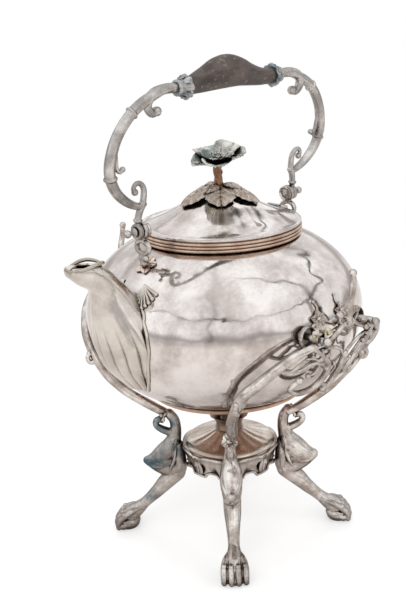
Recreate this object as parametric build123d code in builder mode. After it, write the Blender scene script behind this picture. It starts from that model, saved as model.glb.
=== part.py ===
"""Silver-plated spirit kettle, hung on trunnions in a four-legged stand with a spirit burner.

Millimetres, +Z up. The feet stand on Z = 0 and Z is the axis of kettle, burner and stand.
The spout points to -X, which is the front. The trunnions lie across it, left being -Y.
"""

from build123d import *
from math import cos, pi, radians, sin, sqrt
import os

os.makedirs("parts", exist_ok=True)

# ---------------------------------------------------------------- driving dimensions
# kettle body
belly_radius = 110.0
belly_height = 196.0
neck_radius = 60.0
neck_height = 255.0
foot_radius = 61.0
foot_height = 132.0
shell_wall = 1.6
shoulder_reach = 25.0  # how far the shoulder runs flat from the neck
shoulder_drop = 9.0
shoulder_fullness = 28.0
keel_reach = 25.0  # how far the underside runs flat from the foot
keel_rise = 6.0
keel_fullness = 30.0

# mouldings
band_height = 7.5
band_thick = 2.6
base_ring_height = 6.5
base_ring_thick = 3.4
base_plate_thick = 1.6

# lid
lid_wall = 1.5
lid_gap = 0.3
lid_edge_height = 3.2
lid_cone_height = 22.0
lid_top_radius = 12.0
bezel_gap = 0.8
bezel_depth = 6.0
bezel_wall = 1.2

# lid hinge
hinge_pin_radius = 0.9
hinge_barrel_radius = 2.2
hinge_barrel_out = 4.2  # from the neck moulding's outside to the pin
hinge_lid_knuckle = 9.0
hinge_body_knuckle = 5.0
hinge_end_gap = 0.3
running_gap = 0.05  # radial play of every pin in its hole
part_gap = 0.3  # play between faces that pass each other

# finial on the lid
leaf_reach = 33.0
leaf_half_width = 12.5
leaf_thick = 1.3
leaf_count = 5
stem_radius = 3.0
stem_height = 19.0
flower_radius = 23.0
flower_depth = 8.0
flower_tilt = 14.0
petal_count = 5
petal_thick = 1.1
petal_half_width = 11.5
finial_nut_radius = 4.5
finial_screw_radius = 1.6

# bail handle: x out from the kettle's axis, h up from the pivots along the bail
bail_pivot_x = 81.5
bail_pivot_height = 273.0
bail_lean = 9.5  # degrees that the bail leans to the left as it is left standing
bail_rod_radius = 4.0
bail_pin_radius = 1.5
bail_eye_radius = 6.0
bail_eye_thick = 4.0
boss_radius = 6.5
boss_thick = 4.0
pin_head_radius = 6.2
pin_head_thick = 2.6
pin_ball_radius = 3.0
pin_cap_radius = 3.4
pin_cap_thick = 1.6
grip_height = 101.0
grip_half_length = 44.0
grip_end_radius = 6.0
grip_hump = 12.4
grip_hump_width = 8.4
grip_rod_radius = 2.0
collar_radius = 9.3
collar_length = 11.0

# bail mounts on the shoulder
loop_wide = 6.8
loop_tall = 4.9
loop_wire = 2.1
loop_drop = 12.4  # from pivot to loop centre
bead_radius = 2.7
mount_leaf_radius = 9.0
mount_leaf_thick = 2.4

# spout
spout_root_half_width = 29.0
spout_root_height = 192.0
spout_tip_x = 150.0
spout_tip_height = 258.0
spout_throat_x = 121.0
spout_throat_height = 247.0
spout_throat_radius = 10.0
spout_wall = 1.5
beak_slope = 0.12  # rise of the beak's open edge per unit of length
strainer_hole_radius = 1.6

# trunnions that carry the kettle
trunnion_x = 28.0
trunnion_height = 201.0
trunnion_radius = 2.5
trunnion_ball = 3.1
trunnion_overhang = 7.0  # from the cradle's middle to the ball
flange_radius = 8.0
flange_depth = 4.0
flange_wall = 1.2
trunnion_leaf_radius = 7.0
trunnion_leaf_thick = 1.8

# stand: r is measured out from the axis along a leg's own diagonal
ring_radius = 40.3
ring_top = 76.5
ring_wall = 3.4
ring_bead = 1.6
apron_height = 20.0
apron_taper = 5.0
apron_wall = 2.0
apron_scallop = 20.0  # degrees from the middle of each side to a scallop
apron_scallop_radius = 6.0
cap_radius = 7.0
cap_thick = 1.6
paw_r = 91.0
paw_length = 22.0
paw_width = 23.0
paw_height = 20.0
toe_radius = 4.2
pad_radius = 8.0  # flat pad under each paw
pad_height = 4.0
knee_r = 74.0
knee_height = 60.0
thigh_thick = 13.0
neck_r = 46.0
neck_top = 104.0
leg_neck_width = 7.6
cradle_gap_low = 10.0  # from the kettle's skin to the middle of the arms, low down
cradle_gap_high = 15.0  # the same at the trunnions
rod_step = 5.0  # spacing of the sections along every curved rod
saddle_wall = 2.4
saddle_thick = 5.0
front_cheek_rise = 6.6
rear_cheek_rise = 1.2
horn_height = 34.0
horn_radius = 2.6

# keeper pins over the front trunnions
keeper_radius = 1.1
keeper_length = 15.0
keeper_ball = 2.9

# spirit burner
font_radius = 38.2
font_rim = 77.8
font_wall = 1.2
font_depth = 17.0
font_shoulder = 11.5  # rise of the font's cone up to the neck
burner_neck_radius = 11.2
burner_flare_radius = 16.0
burner_neck_height = 11.5
wick_tube_radius = 7.0
wick_tube_wall = 0.8
wick_rise = 1.5

SIDES = {"left": -1, "right": 1}
ENDS = {"front": -1, "rear": 1}


# ---------------------------------------------------------------- shared geometry
def bezier(points, t):
    """Point on a cubic curve of four control points."""
    s = 1 - t
    weights = (s**3, 3 * s * s * t, 3 * s * t * t, t**3)
    return tuple(sum(w * p[i] for w, p in zip(weights, points)) for i in (0, 1))


def body_curves(inset=0.0):
    """Control points of the kettle's shoulder and underside, drawn in by inset."""
    belly = (belly_radius - inset, belly_height)
    neck = (neck_radius - inset, neck_height)
    foot = (foot_radius - inset, foot_height + inset)
    shoulder = [
        neck,
        (neck[0] + shoulder_reach, neck[1] - shoulder_drop - inset),
        (belly[0], belly[1] + shoulder_fullness),
        belly,
    ]
    underside = [
        belly,
        (belly[0], belly[1] - keel_fullness),
        (foot[0] + keel_reach, foot[1] + keel_rise),
        foot,
    ]
    return shoulder, underside


def body_radius_at(height):
    """Outside radius of the kettle at a height."""
    shoulder, underside = body_curves()
    curve = shoulder if height > belly_height else underside
    low, high = 0.0, 1.0
    for _ in range(40):
        middle = (low + high) / 2
        if bezier(curve, middle)[1] > height:
            low = middle
        else:
            high = middle
    return bezier(curve, low)[0]


def body_height_at(radius):
    """Height of the kettle's shoulder at a radius."""
    low, high = 0.0, 1.0
    shoulder = body_curves()[0]
    for _ in range(40):
        middle = (low + high) / 2
        if bezier(shoulder, middle)[0] < radius:
            low = middle
        else:
            high = middle
    return bezier(shoulder, low)[1]


def cradle_radius(height):
    """Radius of the curved surface in which the stand's arms and brackets lie."""
    reach = min(max((height - belly_height + 30) / 30, 0), 1)
    gap = cradle_gap_low + (cradle_gap_high - cradle_gap_low) * reach
    return body_radius_at(max(min(height, belly_height), foot_height + 6)) + gap


def on_cradle(x, height, depth=0.0):
    """Point of the cradle surface's left side at an x and a height, moved out by depth."""
    return (x, -sqrt((cradle_radius(height) + depth) ** 2 - x * x), height)


def between(marks, values, at):
    """Value at a mark, read off straight lines between rising marks and their values."""
    for low, high, first, last in zip(marks, marks[1:], values, values[1:]):
        if at <= high:
            return first + (last - first) * (at - low) / (high - low)
    return values[-1]


def rod(points, radii, tip=0.0, root=0.0):
    """Tapered round rod through a few points, with a ball at its tip or its root if one is given."""
    path = Spline(*[Vector(*p) for p in points])
    marks = [path.param_at_point(Vector(*p)) for p in points]
    count = max(3, round(path.length / rod_step))
    across = Plane(origin=points[0], z_dir=path % 0).x_dir
    with BuildPart(mode=Mode.PRIVATE) as built:
        for k in range(count + 1):
            along = path % (k / count)
            across = across - along * across.dot(along)
            with BuildSketch(Plane(origin=path @ (k / count), x_dir=across, z_dir=along)):
                Circle(between(marks, radii, k / count))
        loft()
        for place, ball in ((0, root), (1, tip)):
            if ball:
                with Locations(Plane(origin=path @ place, z_dir=path % place).location):
                    Sphere(ball)
    return built.part


def on_bail(points, end):
    """Points given as (x out, h up the bail) on the front or rear half of the leaning bail."""
    lean = radians(bail_lean)
    return [
        (end * x, -h * sin(lean), bail_pivot_height + h * cos(lean)) for x, h in points
    ]


# ---------------------------------------------------------------- kettle body
band_bottom = neck_height
band_top = neck_height + band_height
band_outer = neck_radius + band_thick
base_inner = foot_radius - shell_wall

with BuildPart() as kettle_envelope:
    with BuildSketch(Plane.XZ):
        with BuildLine():
            shoulder, underside = body_curves()
            Bezier(*shoulder)
            Bezier(*underside)
            Line(underside[-1], (0, foot_height))
            Line((0, foot_height), (0, neck_height))
            Line((0, neck_height), shoulder[0])
        make_face()
    revolve(axis=Axis.Z)

strainer_spots = [(0, 0)] + [
    (ring * cos(k * pi / 3), ring * sin(k * pi / 3)) for ring in (6, 12) for k in range(6)
]

with BuildPart() as kettle_body:
    with BuildSketch(Plane.XZ):
        with BuildLine():
            outer_top, outer_low = body_curves()
            inner_top, inner_low = body_curves(shell_wall)
            Bezier(*outer_top)
            Bezier(*outer_low)
            Line(outer_low[-1], (inner_low[-1][0], outer_low[-1][1]))
            Line((inner_low[-1][0], outer_low[-1][1]), inner_low[-1])
            Bezier(*reversed(inner_low))
            Bezier(*reversed(inner_top))
            Line(inner_top[0], (inner_top[0][0], band_top - part_gap))
            Line((inner_top[0][0], band_top - part_gap), (neck_radius, band_top - part_gap))
            Line((neck_radius, band_top - part_gap), outer_top[0])
        make_face()
    revolve(axis=Axis.Z)
    with BuildSketch(Plane.YZ.offset(-belly_radius - 1)):
        with Locations(*[(y, spout_root_height + z) for y, z in strainer_spots]):
            Circle(strainer_hole_radius)
    extrude(amount=belly_radius / 2, mode=Mode.SUBTRACT)
kettle_body.part.label = "kettle_body"

with BuildPart() as kettle_base:
    with Locations((0, 0, foot_height)):
        Cylinder(
            base_inner, base_plate_thick, align=(Align.CENTER, Align.CENTER, Align.MIN)
        )
kettle_base.part.label = "kettle_base"

with BuildPart() as base_moulding:
    with BuildSketch(Plane.XZ):
        with BuildLine():
            low = foot_height - base_ring_height / 2
            reed = base_ring_height / 2
            Line((base_inner, low), (foot_radius, low))
            ThreePointArc(
                (foot_radius, low),
                (foot_radius + base_ring_thick, low + reed * 0.6),
                (foot_radius + base_ring_thick * 0.6, low + reed),
            )
            Line(
                (foot_radius + base_ring_thick * 0.6, low + reed),
                (foot_radius, foot_height),
            )
            Line((foot_radius, foot_height), (base_inner, foot_height))
            Line((base_inner, foot_height), (base_inner, low))
        make_face()
    revolve(axis=Axis.Z)
base_moulding.part.label = "base_moulding"

with BuildPart() as neck_band:
    with BuildSketch(Plane.XZ):
        with Locations((neck_radius + band_thick / 2, band_bottom + band_height / 2)):
            Rectangle(band_thick, band_height)
        for k in range(3):
            reed_height = band_height / 3
            with Locations((band_outer, band_bottom + (k + 0.5) * reed_height)):
                Circle(reed_height * 0.42)
    revolve(axis=Axis.Z)
    add(kettle_envelope.part, mode=Mode.SUBTRACT)
neck_band.part.label = "neck_band"


# ---------------------------------------------------------------- spout
def spout_loft(inset):
    """Solid spout from inside the belly up to the beak, drawn in by inset all round."""
    throat = spout_throat_radius
    sections = [
        # x out, height, half length, half width, lean of the section's normal towards the front
        (86.0, 156.0, 14.0, 15.0, 0),
        (96.0, 174.0, 19.5, spout_root_half_width * 0.86, 0),
        (100.0, spout_root_height, 23.0, spout_root_half_width, 0),
        (104.0, 208.0, 22.0, spout_root_half_width * 0.88, 5),
        (110.5, 225.0, 17.5, spout_root_half_width * 0.62, 12),
        (117.5, 238.0, 12.3, throat * 1.23, 28),
        (spout_throat_x + 4, spout_throat_height + 0.5, throat, throat, 48),
        (137.0, spout_tip_height - 3, throat * 0.95, throat * 0.9, 68),
        (spout_tip_x - 2, spout_tip_height, 4.5, 5.0, 78),
    ]
    with BuildPart(mode=Mode.PRIVATE) as built:
        for x, z, long, wide, lean in sections:
            normal = (-sin(radians(lean)), 0, cos(radians(lean)))
            with BuildSketch(Plane(origin=(-x, 0, z), x_dir=(0, 1, 0), z_dir=normal)):
                Ellipse(wide - inset, long - inset)
        loft()
    return built.part


spout_outer = spout_loft(0)
spout_bore = spout_loft(spout_wall)
beak_cut = Plane(
    origin=(-spout_throat_x + 2, 0, spout_throat_height + spout_throat_radius),
    x_dir=(0, 1, 0),
    z_dir=(beak_slope, 0, 1),
)
beak_rims = [
    rod(
        [
            (-121.5, side * 2.6, 256.9),
            (-128.0, side * 6.2, 258.0),
            (-136.5, side * 8.2, 259.4),
            (-143.5, side * 6.2, 260.2),
            (-148.5, side * 2.2, 260.0),
        ],
        [1.2, 1.5, 1.7, 1.7, 1.4],
        tip=1.8,
    )
    for side in SIDES.values()
]
with BuildPart() as spout:
    add(spout_outer)
    add(spout_bore, mode=Mode.SUBTRACT)
    with BuildSketch(beak_cut):
        Rectangle(4 * spout_throat_radius, 4 * (spout_tip_x - spout_throat_x))
    extrude(amount=2 * spout_throat_radius, mode=Mode.SUBTRACT)
    add(beak_rims)
    add(kettle_envelope.part, mode=Mode.SUBTRACT)
spout.part.label = "spout"


# ---------------------------------------------------------------- bail mounts on the shoulder
def rosette(radius, thick, lobes, plane):
    """Flat flower of round lobes about a hub, centred on a plane."""
    with BuildPart(mode=Mode.PRIVATE) as built:
        with BuildSketch(plane):
            Circle(radius * 0.62)
            with PolarLocations(radius * 0.62, lobes):
                Circle(radius * 0.38)
        extrude(amount=thick, both=True)
    return built.part


boss_inner_x = bail_pivot_x - boss_thick / 2 - 1.3
boss_outer_x = boss_inner_x + boss_thick
eye_inner_x = boss_outer_x + part_gap
eye_outer_x = eye_inner_x + bail_eye_thick
loop_x = boss_inner_x + boss_thick / 2
loop_height = bail_pivot_height - loop_drop
bead_height = loop_height - loop_tall - loop_wire - bead_radius * 0.7
shoulder_at_mount = body_height_at(bail_pivot_x - 3)


def mount_leaf_solid(end):
    """Floral plate lying on the shoulder under a bail mount."""
    slope = Plane(
        origin=(end * (bail_pivot_x - 3), 0, shoulder_at_mount),
        z_dir=(end * 0.42, 0, 1),
    )
    with BuildPart(mode=Mode.PRIVATE) as built:
        add(rosette(mount_leaf_radius, mount_leaf_thick, 5, slope))
        add(kettle_envelope.part, mode=Mode.SUBTRACT)
    return built.part


def mount_loop_solid(end, leaf):
    """Pivot boss, open loop and paired beads of a bail mount, soldered on its floral plate."""
    face = Plane.YZ.offset(end * boss_inner_x)
    with BuildPart(mode=Mode.PRIVATE) as built:
        with BuildSketch(face):
            with Locations((0, bail_pivot_height)):
                Circle(boss_radius)
        extrude(amount=end * boss_thick)
        with BuildLine(Plane.YZ.offset(end * loop_x)) as wire:
            EllipticalCenterArc((0, loop_height), loop_wide, loop_tall, arc_size=360)
        with BuildSketch(Plane(origin=wire.line @ 0, z_dir=wire.line % 0)):
            Circle(loop_wire)
        sweep(path=wire.line)
        for y in (-bead_radius * 0.85, bead_radius * 0.85):
            with Locations((end * loop_x, y, bead_height)):
                Sphere(bead_radius)
        with Locations((end * loop_x, 0, bead_height)):
            Cylinder(
                bead_radius * 0.6,
                2 * bead_radius + 3,
                align=(Align.CENTER, Align.CENTER, Align.MAX),
            )
        with BuildSketch(face):
            with Locations((0, bail_pivot_height)):
                Circle(bail_pin_radius + running_gap)
        extrude(amount=end * boss_thick, mode=Mode.SUBTRACT)
        add(kettle_envelope.part, mode=Mode.SUBTRACT)
        add(leaf, mode=Mode.SUBTRACT)
    return built.part


mounts = {}
for end_name, end in ENDS.items():
    leaf = mount_leaf_solid(end)
    mounts[f"mount_leaf_{end_name}"] = leaf
    mounts[f"mount_loop_{end_name}"] = mount_loop_solid(end, leaf)

# ---------------------------------------------------------------- trunnions
saddle_middle = sqrt(cradle_radius(trunnion_height) ** 2 - trunnion_x**2)
flange_face = sqrt(belly_radius**2 - trunnion_x**2)

with BuildPart() as trunnion_flanges:
    for side in SIDES.values():
        with BuildSketch(Plane.XZ.offset(-side * (flange_face - 3))):
            with Locations(*[(x, trunnion_height) for x in (-trunnion_x, trunnion_x)]):
                Circle(flange_radius * 0.5)
        extrude(amount=-side * 5)
        with BuildSketch(Plane.XZ.offset(-side * (flange_face + 2))):
            with Locations(*[(x, trunnion_height) for x in (-trunnion_x, trunnion_x)]):
                Circle(flange_radius)
        extrude(amount=-side * flange_depth)
        with BuildSketch(Plane.XZ.offset(-side * (flange_face + 2 + flange_wall))):
            with Locations(*[(x, trunnion_height) for x in (-trunnion_x, trunnion_x)]):
                Circle(flange_radius - flange_wall)
        extrude(amount=-side * flange_depth, mode=Mode.SUBTRACT)
        with BuildSketch(Plane.XZ.offset(-side * (flange_face - 4))):
            with Locations(*[(x, trunnion_height) for x in (-trunnion_x, trunnion_x)]):
                Circle(trunnion_radius)
        extrude(amount=-side * 12, mode=Mode.SUBTRACT)
    add(kettle_envelope.part, mode=Mode.SUBTRACT)
trunnion_flanges.part.label = "trunnion_flanges"

with BuildPart() as trunnion_studs:
    for side in SIDES.values():
        stud_end = saddle_middle + trunnion_overhang
        with BuildSketch(Plane.XZ.offset(-side * (flange_face - 4))):
            with Locations(*[(x, trunnion_height) for x in (-trunnion_x, trunnion_x)]):
                Circle(trunnion_radius)
        extrude(amount=-side * (stud_end - flange_face + 4))
        with Locations(
            *[(x, side * stud_end, trunnion_height) for x in (-trunnion_x, trunnion_x)]
        ):
            Sphere(trunnion_ball)
    add(kettle_envelope.part, mode=Mode.SUBTRACT)
trunnion_studs.part.label = "trunnion_studs"

sprig_x = trunnion_x * 0.46
sprig_height = trunnion_height + 9
sprig_radius = body_radius_at(sprig_height)
sprigs = []
for side in SIDES.values():
    for x in (-sprig_x, sprig_x):
        y = side * sqrt(sprig_radius**2 - x * x)
        sprigs.append(
            rosette(
                trunnion_leaf_radius,
                trunnion_leaf_thick,
                5,
                Plane(origin=(x, y, sprig_height), z_dir=(x, y, sprig_radius * 0.2)),
            )
        )
with BuildPart() as trunnion_sprigs:
    add(sprigs)
    add(kettle_envelope.part, mode=Mode.SUBTRACT)
trunnion_sprigs.part.label = "trunnion_sprigs"

# ---------------------------------------------------------------- lid
lid_bottom = band_top + lid_gap
lid_edge = lid_bottom + lid_edge_height
lid_apex = lid_edge + lid_cone_height
lid_outline = [
    (band_outer - 3.2, lid_edge),
    (50.0, lid_edge + 3.4),
    (38.0, lid_edge + 8.6),
    (26.0, lid_edge + 14.8),
    (lid_top_radius, lid_apex),
]
bezel_radius = neck_radius - shell_wall - bezel_gap


def lid_profile(lift):
    """Points of the lid's upper face, raised by lift."""
    return [(r, z + lift) for r, z in lid_outline]


with BuildPart() as lid_shell:
    with BuildSketch(Plane.XZ):
        with BuildLine():
            under = lid_profile(-lid_wall)
            bead = (band_outer, lid_bottom)
            bead_top = lid_outline[0]
            Line((0, lid_apex + 1), (lid_top_radius, lid_apex))
            Spline(*reversed(lid_outline))
            ThreePointArc(bead_top, (band_outer + 0.6, lid_bottom + 1.7), bead)
            Line(bead, (bezel_radius - bezel_wall, lid_bottom))
            Line((bezel_radius - bezel_wall, lid_bottom), under[1])
            Spline(*under[1:])
            Line(under[-1], (0, lid_apex + 1 - lid_wall))
            Line((0, lid_apex + 1 - lid_wall), (0, lid_apex + 1))
        make_face()
    revolve(axis=Axis.Z)
    with Locations((0, 0, lid_apex)):
        Cylinder(finial_screw_radius + running_gap, 10, mode=Mode.SUBTRACT)
lid_shell.part.label = "lid_shell"

with BuildPart() as lid_bezel:
    with Locations((0, 0, lid_bottom)):
        Cylinder(bezel_radius, bezel_depth, align=(Align.CENTER, Align.CENTER, Align.MAX))
        Cylinder(
            bezel_radius - bezel_wall,
            bezel_depth,
            align=(Align.CENTER, Align.CENTER, Align.MAX),
            mode=Mode.SUBTRACT,
        )
lid_bezel.part.label = "lid_bezel"

hinge_x = band_outer + hinge_barrel_out
hinge_height = lid_bottom + 1.0
body_knuckle_start = hinge_lid_knuckle / 2 + hinge_end_gap

with BuildPart() as lid_hinge_leaf:
    with BuildSketch(Plane.XZ.offset(-hinge_lid_knuckle / 2)):
        with Locations((hinge_x, hinge_height)):
            Circle(hinge_barrel_radius)
        with Locations((hinge_x, hinge_height + hinge_barrel_radius)):
            Rectangle(hinge_barrel_out + 1, 1.6, align=(Align.MAX, Align.MAX))
    extrude(amount=hinge_lid_knuckle)
    with BuildSketch(Plane.XZ.offset(-hinge_lid_knuckle / 2)):
        with Locations((hinge_x, hinge_height)):
            Circle(hinge_pin_radius + running_gap)
    extrude(amount=hinge_lid_knuckle, mode=Mode.SUBTRACT)
    add(lid_shell.part, mode=Mode.SUBTRACT)
lid_hinge_leaf.part.label = "lid_hinge_leaf"

with BuildPart() as body_hinge_leaf:
    for side in SIDES.values():
        with BuildSketch(Plane.XZ.offset(-side * body_knuckle_start)):
            with Locations((hinge_x, hinge_height)):
                Circle(hinge_barrel_radius)
            with Locations((hinge_x + hinge_barrel_radius, hinge_height)):
                Rectangle(
                    hinge_barrel_out + hinge_barrel_radius + 1,
                    band_height * 0.7,
                    align=(Align.MAX, Align.MAX),
                )
            with Locations((band_outer, lid_bottom - part_gap)):
                Rectangle(
                    2.4 * hinge_barrel_out,
                    band_height,
                    align=(Align.CENTER, Align.MIN),
                    mode=Mode.SUBTRACT,
                )
            with Locations((hinge_x, hinge_height)):
                Circle(hinge_barrel_radius)
        extrude(amount=-side * hinge_body_knuckle)
    with BuildSketch(Plane.XZ.offset(-2 * hinge_lid_knuckle)):
        with Locations((hinge_x, hinge_height)):
            Circle(hinge_pin_radius)
    extrude(amount=4 * hinge_lid_knuckle, mode=Mode.SUBTRACT)
    add(neck_band.part, mode=Mode.SUBTRACT)
    add(kettle_envelope.part, mode=Mode.SUBTRACT)
body_hinge_leaf.part.label = "body_hinge_leaf"

with BuildPart() as hinge_pin:
    pin_half = body_knuckle_start + hinge_body_knuckle
    with BuildSketch(Plane.XZ.offset(-pin_half)):
        with Locations((hinge_x, hinge_height)):
            Circle(hinge_pin_radius)
    extrude(amount=2 * pin_half)
hinge_pin.part.label = "hinge_pin"

# ---------------------------------------------------------------- finial
leaf_seat = lid_apex + 1
leaf_angles = [k * 360 / leaf_count + 12 for k in range(leaf_count)]

with BuildPart() as finial_leaves:
    with BuildSketch(Plane.XY.offset(lid_edge)):
        Circle(stem_radius * 2.2)
        for k, angle in enumerate(leaf_angles):
            reach = leaf_reach * (1.0 if k % 2 == 0 else 0.86)
            with BuildLine(Plane.XY.rotated((0, 0, angle))):
                Spline(
                    (3, 0),
                    (reach * 0.32, leaf_half_width * 0.8),
                    (reach * 0.62, leaf_half_width),
                    (reach * 0.86, leaf_half_width * 0.55),
                    (reach, 0),
                )
                Spline(
                    (3, 0),
                    (reach * 0.32, -leaf_half_width * 0.8),
                    (reach * 0.62, -leaf_half_width),
                    (reach * 0.86, -leaf_half_width * 0.55),
                    (reach, 0),
                )
            make_face()
    extrude(amount=2 * lid_cone_height)
    with BuildSketch(Plane.XZ):
        with BuildLine():
            lower = [(46.0, lid_edge + 8.0), (30.0, lid_edge + 15.5), (lid_top_radius, leaf_seat)]
            upper = [(r, z + leaf_thick + 0.5) for r, z in lower]
            Line((0, leaf_seat), (lid_top_radius, leaf_seat))
            Spline(*lower)
            Line(lower[0], upper[0])
            Spline(*upper)
            Line(upper[-1], (0, leaf_seat + 2 * leaf_thick))
            Line((0, leaf_seat + 2 * leaf_thick), (0, leaf_seat))
        make_face()
    revolve(axis=Axis.Z, mode=Mode.INTERSECT)
    with Locations((0, 0, leaf_seat)):
        Cylinder(finial_screw_radius, 12, mode=Mode.SUBTRACT)
finial_leaves.part.label = "finial_leaves"

stem_foot = leaf_seat + 2 * leaf_thick
stem_top = stem_foot + stem_height
stem_core = rod(
    [
        (0, 0, stem_foot + 1),
        (-1.6, -1.6, stem_foot + stem_height * 0.3),
        (-0.6, 0.4, stem_foot + stem_height * 0.65),
        (0, 0, stem_top),
    ],
    [stem_radius * 1.5, stem_radius * 1.1, stem_radius, stem_radius * 1.3],
)
with BuildPart() as finial_stem:
    add(stem_core)
    with Locations((0, 0, stem_foot)):
        Cylinder(stem_radius * 1.4, 1.5, align=(Align.CENTER, Align.CENTER, Align.MIN))
        Cylinder(
            4 * stem_radius,
            4 * stem_radius,
            align=(Align.CENTER, Align.CENTER, Align.MAX),
            mode=Mode.SUBTRACT,
        )
        Cylinder(
            finial_screw_radius,
            stem_foot - lid_apex + 7,
            align=(Align.CENTER, Align.CENTER, Align.MAX),
        )
finial_stem.part.label = "finial_stem"

flower_plane = Plane(
    origin=(0, 0, stem_top),
    z_dir=(-sin(radians(flower_tilt)) * 0.7, -sin(radians(flower_tilt)) * 0.7, 1),
)
with BuildPart() as flower_upright:
    with BuildSketch():
        Circle(flower_radius * 0.3)
        for k in range(petal_count):
            with BuildLine(Plane.XY.rotated((0, 0, k * 360 / petal_count))):
                for side in SIDES.values():
                    Spline(
                        (2, 0),
                        (flower_radius * 0.35, side * petal_half_width * 0.62),
                        (flower_radius * 0.72, side * petal_half_width),
                        (flower_radius * 0.96, side * petal_half_width * 0.6),
                        (flower_radius, 0),
                    )
            make_face()
    extrude(amount=2 * flower_depth)
    with BuildSketch(Plane.XZ):
        with BuildLine():
            cup_under = [
                (0.0, 1.0),
                (flower_radius * 0.35, 1.6),
                (flower_radius * 0.7, flower_depth * 0.72),
                (flower_radius * 0.88, flower_depth),
                (flower_radius * 1.1, flower_depth * 0.8),
            ]
            cup_upper = [(r, z + petal_thick) for r, z in cup_under]
            Spline(*cup_under)
            Line(cup_under[-1], cup_upper[-1])
            Spline(*cup_upper)
            Line(cup_upper[0], cup_under[0])
        make_face()
    revolve(axis=Axis.Z, mode=Mode.INTERSECT)

with BuildPart() as finial_flower:
    add(flower_plane.location * flower_upright.part)
    add(finial_stem.part, mode=Mode.SUBTRACT)
finial_flower.part.label = "finial_flower"

nut_seat = flower_plane.offset(1.0 + petal_thick)
with BuildPart() as finial_nut:
    with Locations(nut_seat.location):
        Sphere(finial_nut_radius)
        Cylinder(
            2 * finial_nut_radius,
            2 * finial_nut_radius,
            align=(Align.CENTER, Align.CENTER, Align.MAX),
            mode=Mode.SUBTRACT,
        )
    add(finial_flower.part, mode=Mode.SUBTRACT)
    add(finial_stem.part, mode=Mode.SUBTRACT)
finial_nut.part.label = "finial_nut"

# ---------------------------------------------------------------- bail handle
# Centre lines of one arm of the bail, as (x out, h up the bail).
arm_neck = [(84.5, 4.5), (84.6, 9), (83.4, 14.5), (81.0, 20.6)]
arm_sweep = [
    (79.4, 20.2),
    (86, 19.6),
    (96, 24.5),
    (105, 32.5),
    (110.5, 42),
    (112.3, 51),
    (111.3, 60),
    (108.3, 70),
    (103, 79),
    (95, 87.5),
    (86, 93.5),
    (77, 98),
]
arm_low_scroll = [
    (81.4, 17.6),
    (80.2, 24.6),
    (80.6, 32),
    (84, 36.3),
    (88, 36.6),
    (90.2, 33.4),
    (88.6, 30.6),
]
arm_tendril = [(107.5, 66), (107, 58), (106, 50.5), (103, 47.5), (100.8, 49.3)]
arm_top_scroll = [
    (55.0, grip_height + 0.5),
    (64.0, grip_height + 0.6),
    (72.0, 100.0),
    (78.3, 96.3),
    (79.6, 91.0),
    (76.0, 86.8),
    (71.8, 87.6),
]
collar_start = grip_half_length
collar_end = grip_half_length + collar_length


def ring_round(point, direction, reach, tube):
    """Turned ring about a rod at a point."""
    with BuildPart(mode=Mode.PRIVATE) as built:
        with Locations(Plane(origin=point, z_dir=direction).location):
            Torus(reach, tube)
    return built.part


def bail_direction(x, h, end):
    """Direction in the leaning bail's plane given as (x out, h up)."""
    origin, tip = on_bail([(0, 0), (x, h)], end)
    return tuple(b - a for a, b in zip(origin, tip))


def bail_arm_solid(end):
    """Scrolled arm of the bail from its eye to the grip's collar."""
    pieces = [
        rod(on_bail(arm_neck, end), [1.9, 2.0, 2.2, 2.3]),
        rod(
            on_bail(arm_sweep, end),
            [2.3, 2.7, 3.4, 3.9, 4.0, 4.0, 4.0, 3.9, 3.9, 3.8, 3.7, 3.4],
        ),
        rod(on_bail(arm_low_scroll, end), [2.3, 2.4, 2.2, 2.0, 1.8, 1.7, 1.7], tip=2.6),
        rod(on_bail(arm_tendril, end), [1.2, 1.5, 1.6, 1.5, 1.5], tip=2.2),
        rod(
            on_bail(arm_top_scroll, end),
            [3.4, 3.8, 3.7, 3.2, 2.8, 2.6, 2.4],
            tip=3.0,
        ),
        ring_round(
            on_bail([(94.4, 88)], end)[0],
            bail_direction(-9, 6, end),
            bail_rod_radius - 0.2,
            1.3,
        ),
        ring_round(
            on_bail([(111.2, 44)], end)[0],
            bail_direction(2, 9, end),
            bail_rod_radius,
            1.3,
        ),
        ring_round(on_bail([(84.6, 8.6)], end)[0], bail_direction(0, 1, end), 2.4, 1.1),
    ]
    eye_face = Plane.YZ.offset(end * eye_inner_x)
    with BuildPart(mode=Mode.PRIVATE) as built:
        with BuildSketch(eye_face):
            with Locations((0, bail_pivot_height)):
                Circle(bail_eye_radius)
        extrude(amount=end * bail_eye_thick)
        for piece in pieces:
            add(piece)
        with BuildSketch(eye_face):
            with Locations((0, bail_pivot_height)):
                Circle(bail_pin_radius + running_gap)
        extrude(amount=end * bail_eye_thick, mode=Mode.SUBTRACT)
    return built.part


def bail_pin_solid(end):
    """Pivot pin: dished head inside, shank through boss and eye, ball outside."""
    head_face = Plane.YZ.offset(end * (boss_inner_x - pin_head_thick))
    cap_face = Plane.YZ.offset(end * (eye_outer_x + part_gap))
    ball_x = eye_outer_x + part_gap + pin_cap_thick + pin_ball_radius * 1.8
    with BuildPart(mode=Mode.PRIVATE) as built:
        for face, radius, length in (
            (head_face, pin_head_radius, pin_head_thick),
            (head_face, bail_pin_radius, ball_x - boss_inner_x + pin_head_thick),
            (cap_face, pin_cap_radius, pin_cap_thick),
        ):
            with BuildSketch(face):
                with Locations((0, bail_pivot_height)):
                    Circle(radius)
            extrude(amount=end * length)
        with Locations((end * ball_x, 0, bail_pivot_height)):
            Sphere(pin_ball_radius)
        with Locations((end * (boss_inner_x - pin_head_thick), 0, bail_pivot_height)):
            Sphere(pin_head_radius * 0.3)
    return built.part


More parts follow.
